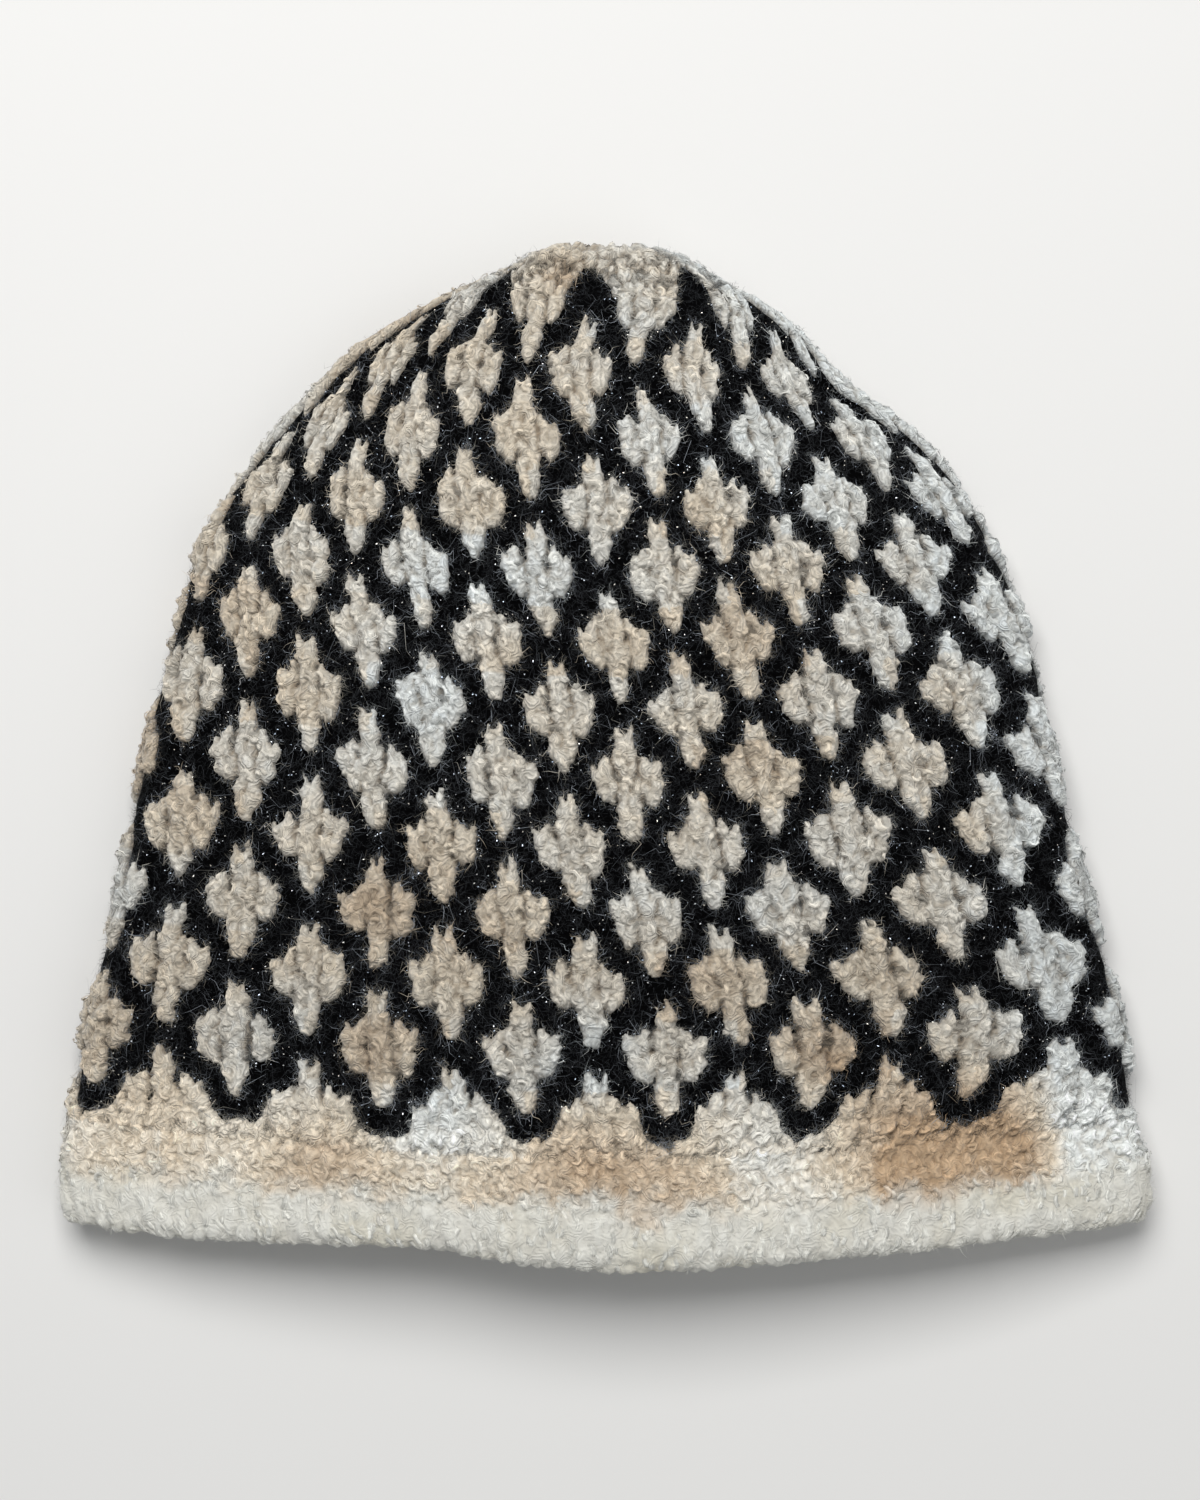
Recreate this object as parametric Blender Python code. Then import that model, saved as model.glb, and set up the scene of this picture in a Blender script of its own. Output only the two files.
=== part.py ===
"""Knitted beanie lying flat: a hollow cap of thick two-colour knitting, open at the brim and closed at the crown.

Metres, +Z up. +X is the wearer's side to side, +Y runs from the brim to the crown, and the hat lies on its back
on z = 0, so its top face is the front. A course is one knitted round; its place is a share of the hat's height.
"""

import math
from collections import namedtuple
from functools import partial

import bpy
import numpy as np

# Overall sizes
HAT_WIDTH = 0.260
HAT_HEIGHT = 0.2413
HAT_THICKNESS = 0.036
SIDE_FOLD_RADIUS = 0.009
TIGHTEST_FOLD_RADIUS = 0.0008

# Wall and pieces
WALL = 0.0055
DIAMOND_RELIEF = 0.0015
PIECE_GAP = 0.0003
HEM_HEIGHT = 0.0160
HEM_WALL = 0.0080
BAND_HEIGHT = 0.0135
CAP_HEIGHT = 0.0120
CAP_END_WALL = 0.0045
GATHER_DEPTH = 0.0012

# A course climbs to the sides as the distance from the middle to this power
RISE_POWER = 1.5

# Knitting: stitches and courses in one diamond repeat, repeats round the hat, courses in the body
REPEAT_STITCHES = 6
REPEAT_COURSES = 6
REPEATS_ROUND = 15
BODY_COURSES = 37
FIRST_CHART_COURSE = -4
SPIRAL_STITCHES_PER_COURSE = -0.1

# Mesh divisions: columns of the plain surfaces are every second stitch
STITCHES_ROUND = REPEAT_STITCHES * REPEATS_ROUND
PLAIN_STEP = 2
BODY_LINING_RINGS = 13
CAP_RINGS = 5
CAP_LINING_RINGS = 3
BAND_RINGS = 3

# One repeat of the diamonds, courses from the bottom up: o is raised cream, . is the dark net
DIAMOND_CHART = (
    "..ooo.",
    "o.ooo.",
    "oo.o.o",
    "oo...o",
    "oo.o.o",
    "o.ooo.",
)

# The flattened hat's sections from brim to crown. Height is a share of HAT_HEIGHT along the middle of the front;
# left and right are shares of half of HAT_WIDTH; the rises are how far the course climbs at each side, shares of
# HAT_HEIGHT; thickness and lift (of the underside) are shares of HAT_THICKNESS; crowding draws the stitches of a
# course from the folds, where they bunch, towards the middle.
Section = namedtuple("Section", "height left right left_rise right_rise thickness lift crowding")
SECTIONS = (
    Section(0.000, 1.000, 1.000, 0.040, 0.040, 0.94, 0.00, 1.00),
    Section(0.067, 1.000, 1.000, 0.036, 0.036, 0.96, 0.00, 1.00),
    Section(0.106, 0.991, 0.978, 0.032, 0.032, 0.97, 0.00, 1.00),
    Section(0.145, 0.975, 0.967, 0.029, 0.029, 0.98, 0.00, 1.01),
    Section(0.211, 0.956, 0.951, 0.026, 0.026, 1.00, 0.00, 1.02),
    Section(0.344, 0.895, 0.885, 0.030, 0.028, 1.00, 0.00, 1.03),
    Section(0.475, 0.847, 0.827, 0.034, 0.030, 1.00, 0.00, 1.06),
    Section(0.610, 0.778, 0.767, 0.040, 0.034, 0.99, 0.00, 1.08),
    Section(0.678, 0.744, 0.718, 0.035, 0.026, 0.97, 0.00, 1.12),
    Section(0.745, 0.669, 0.660, 0.030, 0.016, 0.94, 0.00, 1.22),
    Section(0.814, 0.571, 0.564, 0.026, 0.005, 0.88, 0.00, 1.40),
    Section(0.882, 0.453, 0.431, 0.022, -0.006, 0.79, 0.00, 1.60),
    Section(0.928, 0.335, 0.345, 0.014, -0.002, 0.70, 0.01, 1.60),
    Section(0.963, 0.227, 0.236, 0.006, 0.000, 0.60, 0.04, 1.40),
    Section(0.985, 0.160, 0.164, 0.001, 0.000, 0.50, 0.09, 1.20),
    Section(1.000, 0.118, 0.110, 0.000, 0.000, 0.36, 0.16, 1.05),
)

# The rolled hem's cross-section: height as a share of HEM_HEIGHT, depth from the outer face as a share of HEM_WALL
HemPoint = namedtuple("HemPoint", "height depth")
HEM_PROFILE = (
    HemPoint(1.00, 0.14),
    HemPoint(0.82, 0.02),
    HemPoint(0.45, 0.00),
    HemPoint(0.17, 0.08),
    HemPoint(0.04, 0.28),
    HemPoint(0.00, 0.52),
    HemPoint(0.05, 0.78),
    HemPoint(0.22, 0.96),
    HemPoint(0.60, 1.00),
    HemPoint(1.00, 0.92),
)

Finish = namedtuple("Finish", "name color roughness")
CREAM_FINISH = Finish("cream_boucle", (0.72, 0.65, 0.56, 1.0), 0.95)
BODY_FINISH = Finish("charcoal_and_cream_knit", (0.16, 0.15, 0.15, 1.0), 0.95)
HEM_FINISH = Finish("white_boucle", (0.84, 0.83, 0.80, 1.0), 0.95)


def clear_scene():
    for item in list(bpy.data.objects):
        bpy.data.objects.remove(item)


def smooth_read(height):
    """The section at a share of the height, read from the table along smooth curves."""
    table = np.array(SECTIONS)
    heights = table[:, 0]
    slopes = np.gradient(table, heights, axis=0)
    row = int(np.clip(np.searchsorted(heights, height) - 1, 0, len(heights) - 2))
    span = heights[row + 1] - heights[row]
    t = (height - heights[row]) / span
    value = (
        (2 * t**3 - 3 * t**2 + 1) * table[row]
        + (t**3 - 2 * t**2 + t) * span * slopes[row]
        + (3 * t**2 - 2 * t**3) * table[row + 1]
        + (t**3 - t**2) * span * slopes[row + 1]
    )
    return Section(*value)


def course_point(height, share_round, depth):
    """A point at a share of the height and a share of the way round (0 is the middle of the front, 0.25 the
    right fold, 0.5 the middle of the back), a depth below the outer face."""
    section = smooth_read(height)
    half_width = (section.left + section.right) / 2 * HAT_WIDTH / 2
    middle = (section.right - section.left) / 2 * HAT_WIDTH / 2
    thickness = section.thickness * HAT_THICKNESS
    fold = max(min(SIDE_FOLD_RADIUS, thickness / 2) - depth, TIGHTEST_FOLD_RADIUS)
    reach = half_width - depth
    low = max(section.lift, 0.0) * HAT_THICKNESS + depth
    high = low + thickness - 2 * depth

    share = (share_round + 0.5) % 1.0 - 0.5
    side = math.copysign(1.0, share)
    on_front = abs(share) <= 0.25
    to_fold = abs(share) * 4 if on_front else (0.5 - abs(share)) * 4
    spread = section.crowding * to_fold / (1 + (section.crowding - 1) * to_fold**2)
    flat = reach - fold
    travelled = spread * (flat + fold * math.pi / 2)
    if travelled < flat:
        across = travelled
        dome = low + 2 * fold + (high - low - 2 * fold) * (1 - (across / flat) ** 2)
        up = dome if on_front else low
    else:
        turn = (travelled - flat) / fold
        across = flat + fold * math.sin(turn)
        up = low + fold + fold * math.cos(turn) * (1 if on_front else -1)
    rise = section.left_rise if side < 0 else section.right_rise
    along = (height - 0.5 + rise * (across / reach) ** RISE_POWER) * HAT_HEIGHT
    return (middle + side * across, along, up)


def ring(height, count, depth_at, spiral=0.0):
    """One round of points; depth_at gives each column's depth below the outer face."""
    return [
        course_point(height, (column + spiral) / count, depth_at(column))
        for column in range(count)
    ]


def plain_ring(height, depth, spiral=0.0):
    count = STITCHES_ROUND // PLAIN_STEP
    return ring(height, count, lambda column: depth, spiral / PLAIN_STEP)


def is_cream(stitch, course):
    """What the chart knits at a stitch; the body's first and last courses join the cream band and cap."""
    last_course = FIRST_CHART_COURSE + BODY_COURSES
    if course <= FIRST_CHART_COURSE or course >= last_course:
        return True
    row = DIAMOND_CHART[course % REPEAT_COURSES]
    return row[stitch % REPEAT_STITCHES] == "o"


def knitted_depth(stitch, course):
    return 0.0 if is_cream(stitch, course) else DIAMOND_RELIEF


def gathered_depth(stitch, drawn_in):
    """Depth of the crown's gathers, one to a diamond repeat, deepest where drawn_in is 1."""
    turn = 2 * math.pi * stitch / REPEAT_STITCHES
    return GATHER_DEPTH * drawn_in * (0.5 + 0.5 * math.cos(turn))


class Skin:
    """Rings of points joined into one closed surface."""

    def __init__(self):
        self.points = []
        self.faces = []

    def add_ring(self, points):
        first = len(self.points)
        self.points.extend(points)
        return list(range(first, first + len(points)))

    def join(self, fine, coarse, outward):
        """Bridges two rings, the first with as many points as the second or a whole multiple of them."""
        step = len(fine) // len(coarse)
        for column, point in enumerate(coarse):
            after = coarse[(column + 1) % len(coarse)]
            run = [fine[(column * step + k) % len(fine)] for k in range(step + 1)]
            turn_at = (step + 1) // 2
            for k in range(step):
                corner = point if k < turn_at else after
                self.add_face((run[k], run[k + 1], corner), outward)
            self.add_face((run[turn_at], after, point), outward)

    def fan(self, rim, centre, outward):
        for column, point in enumerate(rim):
            self.add_face((point, rim[(column + 1) % len(rim)], centre), outward)

    def add_face(self, corners, outward):
        self.faces.append(corners if outward else corners[::-1])


def knitted_material(finish):
    material = bpy.data.materials.new(finish.name)
    material.use_nodes = True
    shader = material.node_tree.nodes["Principled BSDF"]
    shader.inputs["Base Color"].default_value = finish.color
    shader.inputs["Roughness"].default_value = finish.roughness
    shader.inputs["Metallic"].default_value = 0.0
    material.diffuse_color = finish.color
    return material


def add_piece(name, skin, finish):
    mesh = bpy.data.meshes.new(name)
    mesh.from_pydata(skin.points, [], skin.faces)
    mesh.validate()
    mesh.shade_smooth()
    mesh.materials.append(knitted_material(finish))
    piece = bpy.data.objects.new(name, mesh)
    bpy.context.scene.collection.objects.link(piece)
    return piece


def joint_heights():
    """The shares of the height where hem, band, body and cap meet."""
    hem_top = HEM_HEIGHT / HAT_HEIGHT
    band_top = hem_top + BAND_HEIGHT / HAT_HEIGHT
    body_top = 1 - CAP_HEIGHT / HAT_HEIGHT
    return hem_top, band_top, body_top


def spiral_at(height):
    """How many stitches the pattern has leaned by a height, growing from the body's foot to its top."""
    _, band_top, body_top = joint_heights()
    climbed = np.clip((height - band_top) / (body_top - band_top), 0, 1)
    return SPIRAL_STITCHES_PER_COURSE * BODY_COURSES * float(climbed)


def make_rolled_hem():
    skin = Skin()
    room = (HEM_HEIGHT - PIECE_GAP / 2) / HAT_HEIGHT
    rings = [
        skin.add_ring(plain_ring(point.height * room, point.depth * HEM_WALL))
        for point in HEM_PROFILE
    ]
    for index, points in enumerate(rings):
        skin.join(points, rings[(index + 1) % len(rings)], outward=False)
    return add_piece("rolled_hem", skin, HEM_FINISH)


def make_brim_band():
    hem_top, band_top, _ = joint_heights()
    half_gap = PIECE_GAP / 2 / HAT_HEIGHT
    heights = np.linspace(hem_top + half_gap, band_top - half_gap, BAND_RINGS)
    skin = Skin()
    outer = [skin.add_ring(plain_ring(height, 0.0)) for height in heights]
    inner = [skin.add_ring(plain_ring(height, WALL)) for height in heights]
    loop = outer + inner[::-1]
    for index, points in enumerate(loop):
        skin.join(points, loop[(index + 1) % len(loop)], outward=True)
    return add_piece("brim_band", skin, CREAM_FINISH)


def make_diamond_body():
    _, band_top, body_top = joint_heights()
    half_gap = PIECE_GAP / 2 / HAT_HEIGHT
    foot = band_top + half_gap
    head = body_top - half_gap
    skin = Skin()

    outer = []
    for index, height in enumerate(np.linspace(foot, head, BODY_COURSES + 1)):
        depth_at = partial(knitted_depth, course=FIRST_CHART_COURSE + index)
        points = ring(height, STITCHES_ROUND, depth_at, spiral_at(height))
        outer.append(skin.add_ring(points))
    inner = [
        skin.add_ring(plain_ring(height, WALL, spiral_at(height)))
        for height in np.linspace(foot, head, BODY_LINING_RINGS)
    ]

    for lower, upper in zip(outer, outer[1:]):
        skin.join(lower, upper, outward=True)
    for lower, upper in zip(inner, inner[1:]):
        skin.join(lower, upper, outward=False)
    skin.join(outer[0], inner[0], outward=False)
    skin.join(outer[-1], inner[-1], outward=True)
    return add_piece("diamond_body", skin, BODY_FINISH)


def make_crown_cap():
    """The closing courses: the wall draws in to a flat end in small gathers, round the top of the hollow."""
    _, _, body_top = joint_heights()
    foot = body_top + PIECE_GAP / 2 / HAT_HEIGHT
    lining_end = 1 - CAP_END_WALL / HAT_HEIGHT
    spiral = spiral_at(body_top)
    skin = Skin()

    outer = []
    for height in np.linspace(foot, 1.0, CAP_RINGS):
        depth_at = partial(gathered_depth, drawn_in=(height - foot) / (1 - foot))
        points = ring(height, STITCHES_ROUND, depth_at, spiral)
        outer.append(skin.add_ring(points))
    inner = [
        skin.add_ring(plain_ring(height, WALL, spiral))
        for height in np.linspace(foot, lining_end, CAP_LINING_RINGS)
    ]

    for lower, upper in zip(outer, outer[1:]):
        skin.join(lower, upper, outward=True)
    for lower, upper in zip(inner, inner[1:]):
        skin.join(lower, upper, outward=False)
    skin.join(outer[0], inner[0], outward=False)
    for rim, outward in ((outer[-1], True), (inner[-1], False)):
        centre = np.mean([skin.points[index] for index in rim], axis=0)
        (tip,) = skin.add_ring([tuple(centre)])
        skin.fan(rim, tip, outward)
    return add_piece("crown_cap", skin, CREAM_FINISH)


def main():
    clear_scene()
    make_rolled_hem()
    make_brim_band()
    make_diamond_body()
    make_crown_cap()


main()
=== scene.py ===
"""Looks of a knitted beanie lying flat: diamonds of looped cream yarn in a net of brushed near-black yarn.

Metres throughout. +X is side to side, +Y runs from the brim to the crown, and the hat lies on its back on
z = 0. Places on the knitting are given in stitches round the hat, from the middle of the front towards the
right, and in courses, the knitted rounds, counted from the middle of the lowest whole diamonds up.
"""

import math
from collections import namedtuple

import bpy
import numpy as np
from bpy.props import FloatProperty, FloatVectorProperty, IntProperty, PointerProperty
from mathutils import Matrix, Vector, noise


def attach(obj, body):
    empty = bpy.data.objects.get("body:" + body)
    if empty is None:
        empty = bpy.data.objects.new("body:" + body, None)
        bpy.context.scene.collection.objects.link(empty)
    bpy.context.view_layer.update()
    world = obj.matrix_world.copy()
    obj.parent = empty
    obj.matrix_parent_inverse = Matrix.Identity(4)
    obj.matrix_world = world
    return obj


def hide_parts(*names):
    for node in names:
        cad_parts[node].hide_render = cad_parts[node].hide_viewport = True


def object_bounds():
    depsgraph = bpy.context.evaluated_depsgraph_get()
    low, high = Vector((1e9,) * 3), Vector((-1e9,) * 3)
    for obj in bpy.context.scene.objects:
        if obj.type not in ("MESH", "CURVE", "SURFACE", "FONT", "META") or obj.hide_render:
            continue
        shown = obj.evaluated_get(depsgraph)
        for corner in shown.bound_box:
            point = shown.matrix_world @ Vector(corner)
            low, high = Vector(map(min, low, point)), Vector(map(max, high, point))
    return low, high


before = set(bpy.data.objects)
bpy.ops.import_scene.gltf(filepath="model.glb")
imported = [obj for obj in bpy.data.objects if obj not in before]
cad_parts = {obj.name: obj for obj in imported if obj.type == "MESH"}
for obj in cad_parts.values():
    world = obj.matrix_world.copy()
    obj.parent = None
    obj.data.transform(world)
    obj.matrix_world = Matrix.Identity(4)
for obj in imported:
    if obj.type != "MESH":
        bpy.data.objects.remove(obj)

bl_info = {
    "name": "Knitted Beanie",
    "version": (1, 0, 0),
    "blender": (4, 5, 0),
    "location": "View3D > Sidebar > Beanie",
    "description": "Dresses a flat-lying knitted beanie with looped and brushed yarn",
    "category": "Object",
}

CAD_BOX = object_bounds()
CAD_LOW, CAD_HIGH = (np.array(corner) for corner in CAD_BOX)

# The photograph's frame, in its pixels, and the hat's place in it
PHOTO_WIDTH = 1200
PHOTO_HEIGHT = 1500
HAT_LEFT_PX = 55
HAT_RIGHT_PX = 1155
HAT_MIDDLE_X_PX = 605.0
HAT_MIDDLE_Y_PX = 757.5
METRES_PER_PX = (CAD_HIGH[0] - CAD_LOW[0]) / (HAT_RIGHT_PX - HAT_LEFT_PX)

# The flattened hat's sections from brim to crown, as the walls are built. Height is a share of the hat's
# height along the middle of the front; left and right are shares of half its width; the rises are how far a
# course climbs at each side, shares of the height; thickness and lift are shares of its thickness. The last
# three say where the stitches lie: crowding draws them from a fold, where they bunch, towards the middle,
# and slack lets the ones near the right fold out again.
Section = namedtuple(
    "Section",
    "height left right left_rise right_rise thickness lift left_crowding right_crowding right_slack",
)
SECTIONS = (
    Section(0.000, 1.000, 1.000, 0.040, 0.040, 0.94, 0.00, 0.97, 0.79, 0.073),
    Section(0.067, 1.000, 1.000, 0.036, 0.036, 0.96, 0.00, 0.97, 0.79, 0.086),
    Section(0.106, 0.991, 0.978, 0.032, 0.032, 0.97, 0.00, 0.97, 0.79, 0.095),
    Section(0.145, 0.975, 0.967, 0.029, 0.029, 0.98, 0.00, 0.97, 0.86, 0.100),
    Section(0.211, 0.956, 0.951, 0.026, 0.026, 1.00, 0.00, 0.98, 0.94, 0.108),
    Section(0.344, 0.895, 0.885, 0.030, 0.028, 1.00, 0.00, 0.98, 0.97, 0.116),
    Section(0.475, 0.847, 0.827, 0.034, 0.030, 1.00, 0.00, 0.99, 1.00, 0.116),
    Section(0.610, 0.778, 0.767, 0.040, 0.034, 0.99, 0.00, 1.06, 1.01, 0.103),
    Section(0.678, 0.744, 0.718, 0.035, 0.026, 0.97, 0.00, 1.12, 1.06, 0.092),
    Section(0.745, 0.669, 0.660, 0.030, 0.016, 0.94, 0.00, 1.26, 1.13, 0.076),
    Section(0.814, 0.571, 0.564, 0.026, 0.005, 0.88, 0.00, 1.43, 1.31, 0.054),
    Section(0.882, 0.453, 0.431, 0.022, -0.006, 0.79, 0.00, 1.62, 1.64, 0.019),
    Section(0.928, 0.335, 0.345, 0.014, -0.002, 0.70, 0.01, 2.05, 2.05, 0.000),
    Section(0.963, 0.227, 0.236, 0.006, 0.000, 0.60, 0.04, 2.90, 2.90, 0.000),
    Section(0.985, 0.160, 0.164, 0.001, 0.000, 0.50, 0.09, 3.80, 3.80, 0.000),
    Section(1.000, 0.118, 0.110, 0.000, 0.000, 0.36, 0.16, 4.60, 4.60, 0.000),
)

# The rolled hem's section: where its roll begins, a share of the hem's height; how many courses go round it
# and up its inner side; how high that side ends, a share of the hem's height, and how far it leans back to
# the wall; and the room for the fleece under it
ROLL_START = 0.45
ROLL_COURSES = 3.4
INNER_COURSES = 1.9
INNER_TOP = 1.06
INNER_LEAN = 0.42
HEM_FLEECE = 0.0006

# The mouth's edge isn't even: it climbs left of its middle, at a share of half the width, and the climb dies
# out at a share of the hat's height
EDGE_CLIMB = 0.0036
EDGE_CLIMB_AT = -0.38
EDGE_CLIMB_REACH = 0.24
EDGE_CLIMB_TOP = 0.13

# One repeat of the knitting chart, courses from the bottom up: o is a cream stitch, . a dark one
CHART = (
    "..ooo.",
    "o..o..",
    "oo...o",
    "oo...o",
    "o..o..",
    "..ooo.",
)
REPEAT_STITCHES = 6
REPEAT_COURSES = 6
STITCHES_ROUND = 90
BODY_COURSES = 37

# The lowest course of the diamonds, and the first of the plain crown
FIRST_COURSE = -4
CAP_COURSE = 34

# A course's height as a share of an even one, and how far all are raised and where the last ends, both as
# shares of the hat's height
COURSE_RATE = 0.974
COURSES_RAISED = 0.0066
LAST_HEIGHT = 0.992

# How many stitches the columns lean: at course 0, for each course, and for its square, up to one last course
LEAN = (-0.366, -0.0989, -0.00078)
LEAN_TOP = 29.5

# How sharply a course climbs towards the sides, and how sharply the stitches bunch at the folds
RISE_POWER = 1.5
BUNCH = 2.5

# Where the cream yarn's own colour turns: tan above 0, white below, at a place in the photograph
Patch = namedtuple("Patch", "x_px y_px reach_px warmth")
PATCHES = (
    Patch(110, 1150, 60, 0.35),
    Patch(340, 1155, 62, 0.62),
    Patch(600, 1165, 70, 0.55),
    Patch(700, 1170, 60, 0.30),
    Patch(925, 1160, 85, 0.95),
    Patch(1005, 1150, 66, 1.00),
    Patch(455, 1110, 75, -0.55),
    Patch(230, 1160, 50, -0.35),
    Patch(770, 1110, 70, -0.55),
    Patch(1110, 1120, 70, -0.90),
    Patch(565, 276, 28, 0.45),
    Patch(675, 290, 30, 0.35),
    Patch(590, 790, 170, 0.30),
    Patch(428, 700, 45, -0.60),
    Patch(588, 1055, 45, -0.60),
    Patch(770, 470, 120, -0.50),
    Patch(450, 610, 70, -0.40),
    Patch(377, 1048, 42, 0.50),
    Patch(826, 1050, 42, 0.50),
    Patch(375, 908, 42, 0.40),
    Patch(600, 330, 130, -0.25),
)


# Sizes and colours a user may change


def in_metres(name, description, default):
    return FloatProperty(name=name, description=description, default=default, unit="LENGTH")


def in_watts(name, description, default):
    return FloatProperty(name=name, description=description, default=default, unit="POWER")


def as_colour(name, description, default):
    return FloatVectorProperty(
        name=name, description=description, default=default, subtype="COLOR", size=3, min=0.0, max=1.0
    )


def as_count(name, description, default):
    return IntProperty(name=name, description=description, default=default, min=0)


class BeanieSizes(bpy.types.PropertyGroup):
    """The hat's built sizes, and how far its yarns stand from the walls."""

    width: in_metres("Width", "Across the brim, lying flat", 0.260)
    height: in_metres("Height", "From the brim's edge to the crown", 0.2413)
    thickness: in_metres("Thickness", "Of the hat as it lies", 0.036)
    fold_radius: in_metres("Side fold", "Outer radius of the side folds", 0.009)
    wall: in_metres("Wall", "Thickness of the knitting", 0.0055)
    hem_height: in_metres("Hem height", "Height of the rolled hem", 0.016)
    hem_wall: in_metres("Hem wall", "Thickness of the rolled hem", 0.008)
    band_height: in_metres("Band height", "Height of the plain band", 0.0135)
    cap_height: in_metres("Cap height", "Height of the closing courses", 0.012)
    skin_depth: in_metres("Skin depth", "Room left for the yarns under the built face", 0.0012)
    net_depth: in_metres("Net depth", "How far the dark net lies under the yarns' face", 0.0008)
    leg_base: in_metres("Stitch base", "How far under the yarns' face the cream stitches begin", 0.0014)
    leg_height: in_metres("Stitch height", "Rise of a full cream stitch over its base", 0.0028)
    plain_lift: in_metres("Plain lift", "Lift of the plain cream fleece over the yarns' face", 0.0002)


class BeanieColours(bpy.types.PropertyGroup):
    """The yarns' colours."""

    white: as_colour("White", "Coolest turn of the cream yarn", (0.86, 0.88, 0.85))
    cream: as_colour("Cream", "Middle turn of the cream yarn", (0.80, 0.70, 0.555))
    tan: as_colour("Tan", "Warmest turn of the cream yarn", (0.53, 0.375, 0.235))
    hem_white: as_colour("Hem white", "Yarn of the rolled hem", (0.71, 0.70, 0.64))
    net: as_colour("Net", "Ground of the dark yarn", (0.0006, 0.0006, 0.0008))
    net_lining: as_colour("Net lining", "The inside of the dark net", (0.020, 0.020, 0.022))
    halo: as_colour("Halo", "Brushed fibres of the dark yarn", (0.135, 0.145, 0.160))
    glint: as_colour("Glint", "Metal thread in the dark yarn", (0.95, 0.90, 0.80))


class BeanieFibres(bpy.types.PropertyGroup):
    """How many loose fibres there are and how thick they lie."""

    locks: as_count("Locks", "Curly locks over the cream yarn", 6400)
    lock_width: in_metres("Lock width", "Of one lock", 0.00120)
    lock_rise: in_metres("Lock rise", "How far a lock stands off at most", 0.0011)
    strand_radius: in_metres("Strand radius", "Half the width of a strand", 0.00015)
    cream_fuzz: as_count("Cream fuzz", "Loose cream fibres", 16000)
    halo_fuzz: as_count("Halo fuzz", "Loose fibres from the diamonds' edges", 38000)
    dark_fuzz: as_count("Dark fuzz", "Brushed dark fibres over the net", 37000)
    fuzz_radius: in_metres("Fibre radius", "Half the width of a loose fibre", 0.000045)
    glints: as_count("Glints", "Ends of metal thread", 2000)


class BeanieStage(bpy.types.PropertyGroup):
    """The floor, the lights and the camera."""

    floor_colour: as_colour("Floor", "Colour of the floor", (0.74, 0.73, 0.71))
    camera_height: in_metres("Camera height", "Height of the camera over the floor", 0.80)
    key_power: in_watts("Key light", "Power of the key light", 18.9)
    fill_power: in_watts("Fill light", "Power of the fill light", 3.5)
    sky_colour: as_colour("Sky colour", "Tint of the even light", (0.92, 0.96, 1.0))
    sky_strength: FloatProperty(name="Sky", description="Strength of the even light", default=0.238)


# The hat's shape


def read_sections(height):
    """The table's columns at shares of the height, along smooth curves."""
    table = np.array(SECTIONS)
    heights = table[:, 0]
    slopes = np.gradient(table, heights, axis=0)
    row = np.clip(np.searchsorted(heights, height) - 1, 0, len(heights) - 2)
    span = (heights[row + 1] - heights[row])[..., None]
    t = np.clip((height - heights[row])[..., None] / span, 0.0, 1.0)
    value = (
        (2 * t**3 - 3 * t**2 + 1) * table[row]
        + (t**3 - 2 * t**2 + t) * span * slopes[row]
        + (3 * t**2 - 2 * t**3) * table[row + 1]
        + (t**3 - t**2) * span * slopes[row + 1]
    )
    return Section(*np.moveaxis(value, -1, 0))


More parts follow.
